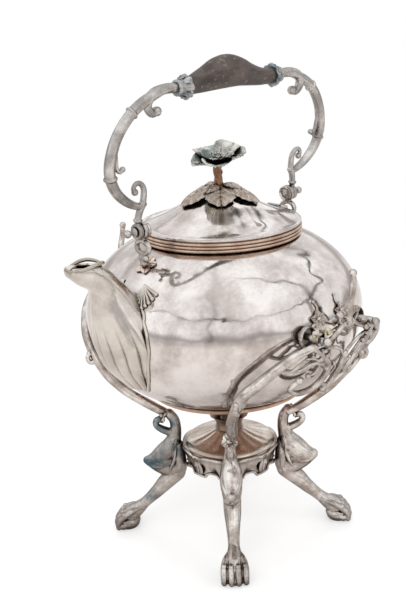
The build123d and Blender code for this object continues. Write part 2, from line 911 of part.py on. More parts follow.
def collar_solid(end):
    """Leafed collar that closes the grip's end, bored for the rod and the arm."""
    middle = on_bail([(0, grip_height)], end)[0]
    seat = Plane(
        origin=(end * collar_start, middle[1], middle[2]),
        x_dir=(0, 1, 0),
        z_dir=(end, 0, 0),
    )
    with BuildPart(mode=Mode.PRIVATE) as built:
        with BuildSketch(seat):
            Circle(collar_radius * 0.86)
            with PolarLocations(collar_radius * 0.66, 8):
                Circle(collar_radius * 0.34)
        extrude(amount=collar_length * 0.3)
        with BuildSketch(seat.offset(collar_length * 0.3)):
            Circle(collar_radius * 0.8)
        with BuildSketch(seat.offset(collar_length)):
            Circle(collar_radius * 0.5)
        loft()
        with Locations(seat.offset(collar_length * 0.86).location):
            Torus(collar_radius * 0.52, 1.3)
        with Locations(seat.location):
            Cylinder(grip_rod_radius, 3 * collar_length, mode=Mode.SUBTRACT)
    return built.part


grip_sections = [
    # x, centre's h, half height, half width
    (-grip_half_length, grip_height, grip_end_radius, grip_end_radius),
    (-30.0, 104.4, 9.1, 7.0),
    (-18.0, 107.5, 11.8, 8.0),
    (-4.0, 108.6, grip_hump, grip_hump_width),
    (10.0, 106.9, 10.6, 7.8),
    (22.0, 103.6, 8.3, 7.0),
    (34.0, 101.2, 6.6, 6.3),
    (grip_half_length, grip_height, grip_end_radius, grip_end_radius),
]
lean = radians(bail_lean)
with BuildPart() as grip:
    for x, h, tall, wide in grip_sections:
        centre = (x, -h * sin(lean), bail_pivot_height + h * cos(lean))
        with BuildSketch(Plane(origin=centre, x_dir=(0, cos(lean), sin(lean)), z_dir=(1, 0, 0))):
            Ellipse(wide, tall)
    loft()
    rod_line = on_bail([(0, grip_height)], 1)[0]
    with Locations(Location(rod_line, (0, 90, 0))):
        Cylinder(grip_rod_radius, 3 * grip_half_length, mode=Mode.SUBTRACT)
grip.part.label = "grip"

with BuildPart() as grip_rod:
    with Locations(Location(rod_line, (0, 90, 0))):
        Cylinder(grip_rod_radius, 2 * (collar_end + 5))
grip_rod.part.label = "grip_rod"

front_collar = collar_solid(-1)
front_arm_pieces = bail_arm_solid(-1)
front_pin = bail_pin_solid(-1)
with BuildPart() as front_arm:
    add(front_arm_pieces)
    add(front_collar, mode=Mode.SUBTRACT)
    add(grip_rod.part, mode=Mode.SUBTRACT)
bail_pieces = {}
for label, solid in (
    ("collar", front_collar),
    ("bail_arm", front_arm.part),
    ("bail_pin", front_pin),
):
    bail_pieces[f"{label}_front"] = solid
    bail_pieces[f"{label}_rear"] = mirror(solid, about=Plane.YZ)

# ---------------------------------------------------------------- burner ring
ring_inner = ring_radius - ring_wall
apron_foot = ring_top - apron_height

with BuildPart() as burner_ring:
    with BuildSketch(Plane.XZ):
        with BuildLine():
            apron_outer = [
                (ring_radius - 0.6, ring_top - 3.2),
                (ring_radius - apron_taper * 0.75, ring_top - apron_height * 0.55),
                (ring_radius - apron_taper, apron_foot),
            ]
            apron_inner = [(r - apron_wall, z) for r, z in apron_outer]
            apron_inner[0] = (ring_inner, ring_top - 3.2)
            Line((ring_inner, ring_top), (ring_radius - ring_bead, ring_top))
            ThreePointArc(
                (ring_radius - ring_bead, ring_top),
                (ring_radius, ring_top - ring_bead),
                apron_outer[0],
            )
            Spline(*apron_outer)
            Line(apron_outer[-1], apron_inner[-1])
            Spline(*reversed(apron_inner))
            Line(apron_inner[0], (ring_inner, ring_top))
        make_face()
    revolve(axis=Axis.Z)
    for k in range(4):
        for swing in (-apron_scallop, apron_scallop):
            with Locations(Location((0, 0, apron_foot - 2), (0, 90, 90 * k + swing))):
                Cylinder(
                    apron_scallop_radius,
                    2 * ring_radius,
                    align=(Align.CENTER, Align.CENTER, Align.MIN),
                    mode=Mode.SUBTRACT,
                )
burner_ring.part.label = "burner_ring"

with BuildPart() as ring_envelope:
    with BuildSketch(Plane.XZ):
        with BuildLine():
            Line((0, ring_top), (ring_radius - ring_bead, ring_top))
            ThreePointArc(
                (ring_radius - ring_bead, ring_top),
                (ring_radius, ring_top - ring_bead),
                apron_outer[0],
            )
            Spline(*apron_outer)
            Line(apron_outer[-1], (0, apron_foot))
            Line((0, apron_foot), (0, ring_top))
        make_face()
    revolve(axis=Axis.Z)

# ---------------------------------------------------------------- legs
leg_pieces = [
    # shin, heel of the paw, and the curled knob on the leg's neck
    rod(
        [(47, 0, 47), (55, 0, 38.5), (64, 0, 29), (72, 0, 22), (80, 0, 15)],
        [8.4, 7.2, 5.6, 5.0, 5.6],
    ),
    rod([(77, 0, 17.5), (83, 0, 13), (90, 0, 9.5)], [5.4, 8.2, 8.6]),
    rod(
        [(52, 0, 88), (57.5, 0, 89.5), (61.5, 0, 93.5), (60.6, 0, 98.2), (56.8, 0, 98.6)],
        [3.2, 3.0, 2.6, 2.2, 2.0],
        tip=2.9,
    ),
]
for k in range(4):
    y = (k - 1.5) * (paw_width - 2 * toe_radius) / 3
    leg_pieces.append(
        rod(
            [
                (paw_r - 6, y * 0.6, paw_height - 6),
                (paw_r + 3, y, paw_height - 7.5),
                (paw_r + paw_length / 2 - toe_radius, y, toe_radius),
            ],
            [toe_radius * 1.1, toe_radius * 1.15, toe_radius * 0.85],
            tip=toe_radius,
        )
    )
for y in (-thigh_thick / 2, thigh_thick / 2):
    leg_pieces.append(
        rod(
            [(66, y, 68), (70.5, y, 62.5), (68, y, 57), (62, y, 57.5), (61, y, 63)],
            [2.2, 2.4, 2.4, 2.2, 1.8],
            tip=2.6,
        )
    )

with BuildPart() as leg_upright:
    with BuildSketch(Plane.XZ.offset(-thigh_thick / 2)):
        with BuildLine():
            inner_edge = [(34.5, 49), (36, 54), (38, 60), (39.5, 70), (40.5, 80)]
            outer_edge = [
                (53.5, 80),
                (62.5, 71.5),
                (69, 66),
                (knee_r, knee_height),
                (70, 54),
                (60, 49.5),
            ]
            belly_edge = [(60, 49.5), (54, 44), (46, 42), (38, 43.5), (34.5, 49)]
            Spline(*inner_edge)
            Line(inner_edge[-1], outer_edge[0])
            Spline(*outer_edge)
            Spline(*belly_edge)
        make_face()
    extrude(amount=thigh_thick)
    with BuildSketch(Plane.XZ.offset(-leg_neck_width / 2)):
        with BuildLine():
            Spline((40.5, 76), (40.0, 88), (42, 98), (neck_r, neck_top))
            Line((neck_r, neck_top), (neck_r + 7, neck_top))
            Spline((neck_r + 7, neck_top), (53.0, 94), (53.5, 84), (57, 76))
            Line((57, 76), (40.5, 76))
        make_face()
    extrude(amount=leg_neck_width)
    for piece in leg_pieces:
        add(piece)
    with Locations((paw_r - 1, 0, 0)):
        Cylinder(pad_radius, pad_height, align=(Align.CENTER, Align.CENTER, Align.MIN))
    add(ring_envelope.part, mode=Mode.SUBTRACT)

# ---------------------------------------------------------------- arms and saddles
def climb(share):
    """Height on an arm at a share of the way up from the leg's neck to the trunnion."""
    return neck_top + (trunnion_height - neck_top) * share


arm_line = [
    (33.5, 36.5, neck_top - 2.5),
    (42, 46, climb(0.047)),
    (56, 59.5, climb(0.186)),
    (63, 66, climb(0.278)),
    (67.5, 71.5, climb(0.361)),
    (70.5, 79, climb(0.485)),
    (71, 87, climb(0.608)),
    (66.5, 96.5, climb(0.706)),
    (57, 107, climb(0.825)),
    (46, 114.5, climb(0.907)),
    (trunnion_x + 8, saddle_middle - 2.5, trunnion_height - 5),
    (trunnion_x + 1, saddle_middle, trunnion_height - 3.5),
]
arm_radii = [3.2, 3.9, 4.1, 4.0, 3.9, 3.9, 3.9, 3.8, 3.6, 3.3, 3.0, 2.8]
arm_curl = [
    (70.5, 79, climb(0.485)),
    (74.5, 83, climb(0.464)),
    (77, 84, climb(0.505)),
    (75, 83.5, climb(0.546)),
]


def saddle_solid(x_sign, side, cheek_rise):
    """Forked end of an arm that a trunnion lies in, its cheeks rising above the trunnion."""
    outer = trunnion_radius + saddle_wall
    face = Plane.XZ.offset(-side * (saddle_middle - saddle_thick / 2))
    with BuildPart(mode=Mode.PRIVATE) as built:
        with BuildSketch(face):
            with Locations((x_sign * trunnion_x, trunnion_height)):
                Circle(outer)
                Rectangle(2 * outer, cheek_rise, align=(Align.CENTER, Align.MIN))
                Rectangle(
                    3 * outer, 3 * outer, align=(Align.CENTER, Align.MIN), mode=Mode.SUBTRACT
                )
                Rectangle(2 * outer, cheek_rise, align=(Align.CENTER, Align.MIN))
                Circle(trunnion_radius + running_gap, mode=Mode.SUBTRACT)
                Rectangle(
                    2 * (trunnion_radius + running_gap),
                    3 * outer,
                    align=(Align.CENTER, Align.MIN),
                    mode=Mode.SUBTRACT,
                )
        extrude(amount=-side * saddle_thick)
    return built.part


def to_left_rear(points, x_sign):
    """Points of the right rear quarter, moved to the left side at the front or the rear."""
    return [(x_sign * x, -y, z) for x, y, z in points]


keeper_height = trunnion_height + trunnion_radius + part_gap + keeper_radius
left_side = {}
for end_name, x_sign in ENDS.items():
    azimuth = 270 + 45 * x_sign
    rise = front_cheek_rise if end_name == "front" else rear_cheek_rise
    arm_rod = rod(to_left_rear(arm_line, x_sign), arm_radii)
    curl_rod = rod(to_left_rear(arm_curl, x_sign), [2.6, 2.2, 1.9, 1.7], tip=2.4)
    saddle = saddle_solid(x_sign, -1, rise)
    with BuildPart() as leg:
        add(Rot(0, 0, azimuth) * leg_upright.part)
    with BuildPart() as arm:
        add(arm_rod)
        add(curl_rod)
        with BuildSketch(Plane.XZ.offset(saddle_middle - saddle_thick)):
            with Locations((x_sign * trunnion_x, trunnion_height)):
                Circle(trunnion_radius + part_gap)
                Rectangle(
                    2 * (trunnion_radius + part_gap),
                    8 * trunnion_radius,
                    align=(Align.CENTER, Align.MIN),
                )
        extrude(amount=2 * saddle_thick, mode=Mode.SUBTRACT)
        add(saddle)
        if end_name == "front":
            with Locations(Location((-trunnion_x, -saddle_middle, keeper_height), (0, 90, 0))):
                Cylinder(keeper_radius, keeper_length, mode=Mode.SUBTRACT)
        add(leg.part, mode=Mode.SUBTRACT)
    left_side[f"leg_{end_name}"] = leg.part
    left_side[f"arm_{end_name}"] = arm.part

# ---------------------------------------------------------------- leaf caps where arms leave legs
cap_reach = (neck_r + 8) / sqrt(2)
cap_plane = Plane(origin=(-cap_reach, -cap_reach, neck_top - 3), z_dir=(-0.71, -0.71, 0.45))
with BuildPart() as cap:
    with Locations(cap_plane.location):
        Cylinder(cap_radius, 2 * cap_thick)
    with Locations(cap_plane.offset(cap_thick).location):
        Sphere(cap_radius * 0.4)
    add(left_side["leg_front"], mode=Mode.SUBTRACT)
    add(left_side["arm_front"], mode=Mode.SUBTRACT)
one_cap = cap.part.solids().sort_by(SortBy.VOLUME)[-1]
rear_cap = mirror(one_cap, about=Plane.YZ)
with BuildPart() as leaf_caps:
    add([one_cap, rear_cap, mirror(one_cap, about=Plane.XZ), mirror(rear_cap, about=Plane.XZ)])
leaf_caps.part.label = "leaf_caps"

# ---------------------------------------------------------------- pierced brackets and horns
# Centre lines as (x, rise above the trunnions) on the cradle surface, with radii, end ball and
# depth out of the surface. The paired ones have a mirror twin in x, a little deeper or shallower.
bracket_paired = [
    # the straps that cross under the horn
    (
        [(-24, -3.5), (-14, 0.5), (-6, 5.5), (2, 11), (9, 14)],
        [2.0, 2.0, 2.0, 2.0, 1.8],
        2.4,
        (0, 1.1),
    ),
    # the V below them
    ([(0, -20), (6, -13), (14, -9), (25, -7.5)], [2.0, 1.8, 1.8, 1.8], 0, (-0.6, 0.5)),
    # the large scrolls
    (
        [
            (-32, -6),
            (-23, -14),
            (-15, -23),
            (-12, -35),
            (-18, -44),
            (-30, -45),
            (-39.5, -38.5),
            (-36, -31),
        ],
        [2.2, 2.3, 2.3, 2.3, 2.3, 2.2, 2.0, 1.8],
        2.6,
        (0.4, 0.4),
    ),
    # the waves from the arms to the large scrolls
    (
        [(-56, -17), (-46, -22), (-38, -21.5), (-30, -18), (-23, -19.5), (-16, -25.5)],
        [2.4, 2.1, 2.0, 2.0, 1.9, 1.8],
        0,
        (-0.4, -0.4),
    ),
]
bracket_middle = [
    ([(0, -18), (0, -29), (0, -41), (0, -51)], [2.5, 2.6, 2.4, 2.0], 2.9, 0.9),
    (
        [(-13, -40), (-6, -44), (0, -45.5), (6, -44), (13, -40)],
        [1.6, 1.7, 1.8, 1.7, 1.6],
        0,
        1.3,
    ),
    ([(0, 5), (0, 10), (0, 15)], [2.7, 2.7, 2.7], 3.5, 0.5),
]


def bracket_rod(line, flip, radii, tip, depth):
    """Rod of a bracket along a line of (x, rise above the trunnions), flipped in x if flip is -1."""
    path = [on_cradle(flip * x, trunnion_height + rise, depth) for x, rise in line]
    return rod(path, radii, tip=tip)


bracket_rods = [bracket_rod(line, 1, *shape) for line, *shape in bracket_middle]
for line, radii, tip, depths in bracket_paired:
    for flip, depth in zip((-1, 1), depths):
        bracket_rods.append(bracket_rod(line, flip, radii, tip, depth))
horn_foot = on_cradle(0, trunnion_height + 13)
horn_rod = rod(
    [
        horn_foot,
        (1.5, horn_foot[1] - 1.5, trunnion_height + 25),
        (4.0, horn_foot[1] - 1.8, trunnion_height + 35),
        (4.5, horn_foot[1] - 1.2, trunnion_height + 8 + horn_height),
    ],
    [horn_radius * 1.3, horn_radius, horn_radius * 0.9, horn_radius * 0.85],
    tip=horn_radius * 1.15,
)
with BuildPart() as bracket:
    for bar in bracket_rods:
        add(bar)
    for end_name in ENDS:
        add(left_side[f"arm_{end_name}"], mode=Mode.SUBTRACT)
with BuildPart() as horn:
    add(horn_rod)
    add(bracket.part, mode=Mode.SUBTRACT)
with BuildPart() as keeper:
    with Locations(Location((-trunnion_x, -saddle_middle, keeper_height), (0, 90, 0))):
        Cylinder(keeper_radius, keeper_length)
    with Locations(
        (-trunnion_x + keeper_length / 2 + keeper_ball / 2, -saddle_middle, keeper_height)
    ):
        Sphere(keeper_ball)
left_side["bracket"] = bracket.part
left_side["horn"] = horn.part.solids().sort_by(SortBy.VOLUME)[-1]
left_side["keeper_pin"] = keeper.part

stand_pieces = {}
for label, solid in left_side.items():
    stand_pieces[f"{label}_left"] = solid
    stand_pieces[f"{label}_right"] = mirror(solid, about=Plane.XZ)

# ---------------------------------------------------------------- spirit burner
bowl_outer = ring_inner - part_gap
font_floor = font_rim - font_depth

with BuildPart() as font_bowl:
    with BuildSketch(Plane.XZ):
        with BuildLine():
            wall_outer = [
                (bowl_outer, ring_top),
                (bowl_outer - 1.5, ring_top - 6),
                (bowl_outer - 6, font_floor + 3),
                (bowl_outer - 12, font_floor),
            ]
            wall_inner = [
                (bowl_outer - font_wall, font_rim),
                (bowl_outer - 1.5 - font_wall, ring_top - 6),
                (bowl_outer - 6.8 - font_wall, font_floor + 3.8),
                (bowl_outer - 12, font_floor + font_wall),
            ]
            Spline(*wall_outer)
            Line(wall_outer[-1], (0, font_floor))
            Line((0, font_floor), (0, font_floor + font_wall))
            Line((0, font_floor + font_wall), wall_inner[-1])
            Spline(*reversed(wall_inner))
            Line(wall_inner[0], (font_radius, font_rim))
            Line((font_radius, font_rim), (font_radius, ring_top))
            Line((font_radius, ring_top), wall_outer[0])
        make_face()
    revolve(axis=Axis.Z)
font_bowl.part.label = "font_bowl"

font_top = font_rim + font_shoulder
with BuildPart() as font_dome:
    with BuildSketch(Plane.XZ):
        with BuildLine():
            dome_outer = [
                (font_radius - 0.8, font_rim),
                (font_radius - 4, font_rim + 3.2),
                (22, font_rim + 6.8),
                (burner_neck_radius, font_top),
            ]
            dome_inner = [
                (font_radius - 0.8 - 2 * font_wall, font_rim),
                (font_radius - 5, font_rim + 3.0 - font_wall),
                (22, font_rim + 6.8 - font_wall),
                (burner_neck_radius, font_top - font_wall),
            ]
            Spline(*dome_outer)
            Line(dome_outer[-1], (wick_tube_radius, font_top))
            Line((wick_tube_radius, font_top), (wick_tube_radius, font_top - font_wall))
            Line((wick_tube_radius, font_top - font_wall), dome_inner[-1])
            Spline(*reversed(dome_inner))
            Line(dome_inner[0], dome_outer[0])
        make_face()
    revolve(axis=Axis.Z)
font_dome.part.label = "font_dome"

burner_top = font_top + burner_neck_height
with BuildPart() as burner_neck:
    with BuildSketch(Plane.XZ):
        with BuildLine():
            flare_outer = [
                (burner_neck_radius, font_top),
                (burner_neck_radius - 0.6, font_top + 4),
                (burner_neck_radius + 1.4, font_top + 8.5),
                (burner_flare_radius, burner_top),
            ]
            flare_inner = [
                (burner_neck_radius - font_wall, font_top),
                (burner_neck_radius - 0.6 - font_wall, font_top + 4),
                (burner_neck_radius + 1.2 - font_wall, font_top + 9.2),
                (burner_flare_radius - 1.5 * font_wall, burner_top),
            ]
            Spline(*flare_outer)
            Line(flare_outer[-1], flare_inner[-1])
            Spline(*reversed(flare_inner))
            Line(flare_inner[0], flare_outer[0])
        make_face()
    revolve(axis=Axis.Z)
burner_neck.part.label = "burner_neck"

tube_bottom = font_top - 3
tube_top = burner_top - 3
with BuildPart() as wick_tube:
    with Locations((0, 0, tube_bottom)):
        Cylinder(
            wick_tube_radius, tube_top - tube_bottom, align=(Align.CENTER, Align.CENTER, Align.MIN)
        )
        Cylinder(
            wick_tube_radius - wick_tube_wall,
            tube_top - tube_bottom,
            align=(Align.CENTER, Align.CENTER, Align.MIN),
            mode=Mode.SUBTRACT,
        )
wick_tube.part.label = "wick_tube"

wick_foot = font_floor + font_wall
with BuildPart() as wick:
    with Locations((0, 0, wick_foot)):
        Cylinder(
            wick_tube_radius - wick_tube_wall,
            tube_top + wick_rise - wick_foot,
            align=(Align.CENTER, Align.CENTER, Align.MIN),
        )
wick.part.label = "wick"

# ---------------------------------------------------------------- files, one per piece
pieces = [
    kettle_body,
    kettle_base,
    base_moulding,
    neck_band,
    spout,
    trunnion_flanges,
    trunnion_studs,
    trunnion_sprigs,
    lid_shell,
    lid_bezel,
    lid_hinge_leaf,
    body_hinge_leaf,
    hinge_pin,
    finial_leaves,
    finial_stem,
    finial_flower,
    finial_nut,
    grip,
    grip_rod,
    burner_ring,
    leaf_caps,
    font_bowl,
    font_dome,
    burner_neck,
    wick_tube,
    wick,
]
for piece in pieces:
    export_step(piece.part, f"parts/{piece.part.label}.step")
for group in (mounts, bail_pieces, stand_pieces):
    for label, solid in group.items():
        solid.label = label
        export_step(solid, f"parts/{label}.step")
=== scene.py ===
import logging
import math
from collections.abc import Callable, Iterable, Sequence
from dataclasses import dataclass, field
from enum import Enum

import bmesh
import bpy
from mathutils import Matrix, Vector, noise


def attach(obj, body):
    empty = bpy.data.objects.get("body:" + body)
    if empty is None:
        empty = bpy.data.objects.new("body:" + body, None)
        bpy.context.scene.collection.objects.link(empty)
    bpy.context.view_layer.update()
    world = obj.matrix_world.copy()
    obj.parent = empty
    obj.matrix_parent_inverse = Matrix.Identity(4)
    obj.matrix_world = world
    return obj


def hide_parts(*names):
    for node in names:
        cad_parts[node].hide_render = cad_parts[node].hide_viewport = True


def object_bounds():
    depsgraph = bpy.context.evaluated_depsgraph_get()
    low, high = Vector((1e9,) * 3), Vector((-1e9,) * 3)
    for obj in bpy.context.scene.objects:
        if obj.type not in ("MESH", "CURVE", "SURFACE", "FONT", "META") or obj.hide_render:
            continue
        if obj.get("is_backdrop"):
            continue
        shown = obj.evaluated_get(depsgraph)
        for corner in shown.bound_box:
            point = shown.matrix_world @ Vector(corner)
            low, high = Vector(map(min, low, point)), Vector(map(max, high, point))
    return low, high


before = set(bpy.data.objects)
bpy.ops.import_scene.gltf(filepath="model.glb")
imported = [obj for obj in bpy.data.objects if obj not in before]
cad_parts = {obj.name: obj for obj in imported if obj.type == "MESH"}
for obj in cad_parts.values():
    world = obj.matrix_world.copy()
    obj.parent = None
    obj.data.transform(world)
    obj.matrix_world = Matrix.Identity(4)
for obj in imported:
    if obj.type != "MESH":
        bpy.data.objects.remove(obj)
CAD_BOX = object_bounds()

log = logging.getLogger("spirit_kettle")
MM = 0.001
MERGE_GAP = 0.01
CURVE_PARTS = 16
DOME_SHARES = (0.35, 0.75, 0.95)
LEAF_STEP = 1.1
RIB_WIDTH = 0.12
VEIN_SLANT = 1.6
CURL_START = 0.6
FILM_SPAN = (0.44, 0.78)
STAIN_SPAN = (0.46, 0.6)
SHELTER_SPAN = (0.35, 0.98, 1.0, 0.0)
GROOVE_SPAN = (0.44, 0.512, 0.9, 0.0)
# Blend of the painted shade on edges that turn away from the camera
EDGE_SHADE_BLEND = 0.42
PIT_HEIGHT = 0.0006
DENT_HEIGHT = 0.004
Colour = tuple[float, float, float]
Triple = tuple[float, float, float]
Point = Sequence[float]
Path = Sequence[Point]
Profile = Sequence[tuple[float, float]]
Ripple = Callable[[float, float, float], tuple[float, float]]
Move = Callable[[Vector], Vector]
Scroll = tuple[Profile, Sequence[float], float, float]
Lamp = tuple[str, Triple, float, float]
Socket = bpy.types.NodeSocket


class Body(Enum):
    """Moving groups of the kettle, as the joints part them."""

    STAND = "stand"
    KETTLE = "kettle"
    LID = "lid"
    BAIL = "bail"
    BURNER = "burner"


class Side(Enum):
    """Left and right of the kettle, as the sign of Y."""

    LEFT = -1
    RIGHT = 1


class End(Enum):
    """Front, where the spout is, and rear, as the sign of X."""

    FRONT = -1
    REAR = 1


QUARTER_TURNS = {
    (End.FRONT, Side.LEFT): 225, (End.FRONT, Side.RIGHT): 135,
    (End.REAR, Side.LEFT): 315, (End.REAR, Side.RIGHT): 45,
}


# ---------------------------------------------------------------- curves
def flow(points: Path, step: float) -> list[list[float]]:
    """Smooth curve through points of any width, read off at even steps.

    Args:
        points: Points as x, y, z and any further values that follow along.
        step: Spacing along the curve, in millimetres.

    Returns:
        The points read off, as wide as those given.
    """
    wide = len(points[0])
    dense: list[list[float]] = []
    for i in range(len(points) - 1):
        quad = [points[max(min(i + k, len(points) - 1), 0)] for k in (-1, 0, 1, 2)]
        for k in range(CURVE_PARTS):
            dense.append([catmull(*(q[w] for q in quad), k / CURVE_PARTS) for w in range(wide)])
    dense.append(list(points[-1]))
    lengths = [0.0]
    for a, b in zip(dense, dense[1:]):
        lengths.append(lengths[-1] + math.dist(a[:3], b[:3]))
    count = max(2, round(lengths[-1] / step))
    result = []
    k = 0
    for i in range(count + 1):
        target = lengths[-1] * i / count
        while k < len(lengths) - 2 and lengths[k + 1] < target:
            k += 1
        span = max(lengths[k + 1] - lengths[k], 1e-9)
        part = min(max((target - lengths[k]) / span, 0.0), 1.0)
        result.append([a + (b - a) * part for a, b in zip(dense[k], dense[k + 1])])
    return result


def catmull(a: float, b: float, c: float, d: float, t: float) -> float:
    """Value on a smooth curve through four values.

    Args:
        a: Value before the stretch.
        b: Value at its start.
        c: Value at its end.
        d: Value after it.
        t: Place on the stretch, from 0 to 1.

    Returns:
        The value there.
    """
    return 0.5 * (
        2 * b + (c - a) * t + (2 * a - 5 * b + 4 * c - d) * t * t + (3 * b - a - 3 * c + d) * t**3
    )


def ease(t: float) -> float:
    """Smooth step from 0 to 1."""
    t = min(max(t, 0.0), 1.0)
    return t * t * (3 - 2 * t)


def spin(point: Vector, degrees: float) -> Vector:
    """Point turned about the vertical axis."""
    return Matrix.Rotation(math.radians(degrees), 3, "Z") @ point


def polar(radius: float, angle: float, height: float = 0.0) -> Triple:
    """Point at a radius, an angle in radians and a height."""
    return (radius * math.cos(angle), radius * math.sin(angle), height)


def angles(count: int, start: float = 0.0) -> list[float]:
    """Even angles around a full turn, in radians."""
    return [2 * math.pi * k / count + start for k in range(count)]


def mirror(x: int, y: int) -> tuple[Move, bool]:
    """Move that multiplies X and Y by 1 or -1, and whether it mirrors."""
    return (lambda p: Vector((x * p.x, y * p.y, p.z))), x * y < 0


# ---------------------------------------------------------------- the mould
class Mould:
    """Collects the surfaces of one piece, in millimetres, and casts them as one object."""

    def __init__(self, name: str) -> None:
        """Start an empty mould.

        Args:
            name: Name of the piece that it casts.
        """
        self.name = name
        self.points: list[Vector] = []
        self.faces: list[list[int]] = []

    def skin(
        self,
        rings: Sequence[Sequence[Vector]],
        around: bool = True,
        lengthwise: bool = False,
    ) -> None:
        """Cover a row of rings with faces.

        Args:
            rings: Rings of equally many points.
            around: Whether each ring is closed.
            lengthwise: Whether the last ring joins the first; if not, both are filled.
        """
        base, wide = len(self.points), len(rings[0])
        for ring in rings:
            self.points.extend(Vector(p) for p in ring)
        last = len(rings) if lengthwise else len(rings) - 1
        for i in range(last):
            a, b = base + i * wide, base + (i + 1) % len(rings) * wide
            for k in range(wide if around else wide - 1):
                n = (k + 1) % wide
                self.faces.append([a + k, a + n, b + n, b + k])
        if around and not lengthwise:
            self.faces.append([base + k for k in reversed(range(wide))])
            self.faces.append([base + (len(rings) - 1) * wide + k for k in range(wide)])

    def lathe(self, profile: Profile, sides: int, ripple: Ripple | None = None) -> None:
        """Turn a closed profile about the vertical axis.

        Args:
            profile: Points as radius and height.
            sides: Faces around.
            ripple: Changes radius and height by the angle, if given.
        """
        rings = []
        for a in angles(sides):
            ring = []
            for r, z in profile:
                rippled, raised = ripple(r, z, a) if ripple else (r, z)
                ring.append(Vector(polar(rippled, a, raised)))
            rings.append(ring)
        self.skin(rings, lengthwise=True)

    def tube(
        self,
        points: Path,
        radii: Sequence[float] | float,
        tip: float = 0.0,
        sides: int = 14,
        step: float = 1.4,
        flutes: int = 0,
        flute_depth: float = 0.0,
        twist: float = 0.0,
        flat: float = 1.0,
    ) -> None:
        """Round rod through points, with rounded ends.

        Args:
            points: Centre line.
            radii: One radius, or one for each point.
            tip: Radius of a ball on the last point, if any.
            sides: Faces around.
            step: Spacing of the rings.
            flutes: Grooves around the rod.
            flute_depth: Depth of the grooves, as a share of the radius.
            twist: Turns of the grooves along the rod.
            flat: Thickness across, as a share of the radius.
        """
        if isinstance(radii, (int, float)):
            radii = [float(radii)] * len(points)
        line = flow([[*p, r] for p, r in zip(points, radii)], step)
        centres = [Vector(p[:3]) for p in line]
        along = [
            (centres[min(i + 1, len(centres) - 1)] - centres[max(i - 1, 0)]).normalized()
            for i in range(len(centres))
        ]
        across = along[0].orthogonal().normalized()
        rings = []

        def ring(offset: float, share: float) -> list[Vector]:
            """Ring of points about the centre in hand.

            Args:
                offset: How far it is moved along the rod.
                share: Its share of the radius.

            Returns:
                The points.
            """
            middle = centre + n * offset
            over = n.cross(across)
            out = []
            for a in angles(sides):
                r = radius * share * (1 + flute_depth * math.cos(flutes * (a + turn)))
                out.append(middle + across * (r * math.cos(a)) + over * (r * flat * math.sin(a)))
            return out

        for i, (centre, n) in enumerate(zip(centres, along)):
            across = (across - n * across.dot(n)).normalized()
            radius = line[i][3]
            turn = 2 * math.pi * twist * i / len(centres)
            dome = [(radius * math.sqrt(1 - share * share), share) for share in DOME_SHARES]
            if i == 0:
                rings.extend(ring(-back, share) for back, share in dome)
            rings.append(ring(0.0, 1.0))
            if i == len(centres) - 1:
                rings.extend(ring(back, share) for back, share in reversed(dome))
        self.skin(rings)
        if tip:
            self.ball(centres[-1], tip)

    def ball(self, centre: Point, radius: float, stretch: Point = (1, 1, 1), sides: int = 18) -> None:
        """Ball or egg about a centre.

        Args:
            centre: Its middle.
            radius: Its radius before it is stretched.
            stretch: Factors along X, Y and Z.
            sides: Faces around.
        """
        rows = max(6, sides // 2)
        rings = []
        for i in range(1, rows):
            fall = math.pi * i / rows
            ring = []
            for a in angles(sides):
                x = math.sin(fall) * math.cos(a) * stretch[0]
                y = math.sin(fall) * math.sin(a) * stretch[1]
                ring.append(Vector(centre) + Vector((x, y, math.cos(fall) * stretch[2])) * radius)
            rings.append(ring)
        self.skin(rings)

    def leaf(
        self,
        spine: Path,
        normal: Point,
        widths: Sequence[float],
        thick: float = 1.0,
        cup: float = 0.0,
        veins: int = 7,
        vein_depth: float = 0.25,
        teeth: float = 0.0,
        curl: float = 0.0,
        across: int = 7,
    ) -> None:
        """Leaf or petal with ribs, along a spine.

        Args:
            spine: Points from stalk to tip.
            normal: Direction that the leaf faces.
            widths: Half width at each point.
            thick: Thickness.
            cup: How far the edges rise, as a share of the half width.
            veins: Side veins on each half.
            vein_depth: Depth of the veins.
            teeth: Depth of the teeth along the edge, as a share of the width.
            curl: How far the edge rolls back near the tip.
            across: Faces on each half.
        """
        line = flow([[*p, w] for p, w in zip(spine, widths)], LEAF_STEP)
        rings = []
        count = len(line) - 1
        for i, point in enumerate(line):
            t = i / count
            centre = Vector(point[:3])
            ahead = Vector(line[min(i + 1, count)][:3]) - Vector(line[max(i - 1, 0)][:3])
            ahead.normalize()
            side = ahead.cross(Vector(normal)).normalized()
            up = side.cross(ahead).normalized()
            wide = max(point[3], 0.15) * (1 - teeth * abs(math.sin(math.pi * t * veins)))
            top = []
            under = []
            for k in range(-across, across + 1):
                v = k / across
                vein = 0.5 + 0.5 * math.cos(2 * math.pi * (t * veins - abs(v) * VEIN_SLANT))
                rise = cup * wide * v * v - vein_depth * vein * (1 - v * v) ** 0.5
                rise -= vein_depth * 1.5 * math.exp(-((v / RIB_WIDTH) ** 2))
                rise -= curl * ease((t - CURL_START) / (1 - CURL_START)) * v * v
                place = centre + side * (wide * v) + up * rise
                top.append(place)
                under.append(place - up * (thick * (1 - v * v) ** 0.5 + 0.2 * thick))
            rings.append(top + under[::-1])
        self.skin(rings)

    def plate(self, outline: Sequence[Vector], depth: Vector) -> None:
        """Add a flat plate.

        Args:
            outline: Points around one face.
            depth: Way from that face to the other.
        """
        base, wide = len(self.points), len(outline)
        self.points.extend(outline)
        self.points.extend(p + depth for p in outline)
        self.faces.append([base + k for k in range(wide)])
        self.faces.append([base + wide + k for k in reversed(range(wide))])
        for k in range(wide):
            n = (k + 1) % wide
            self.faces.append([base + k, base + wide + k, base + wide + n, base + n])

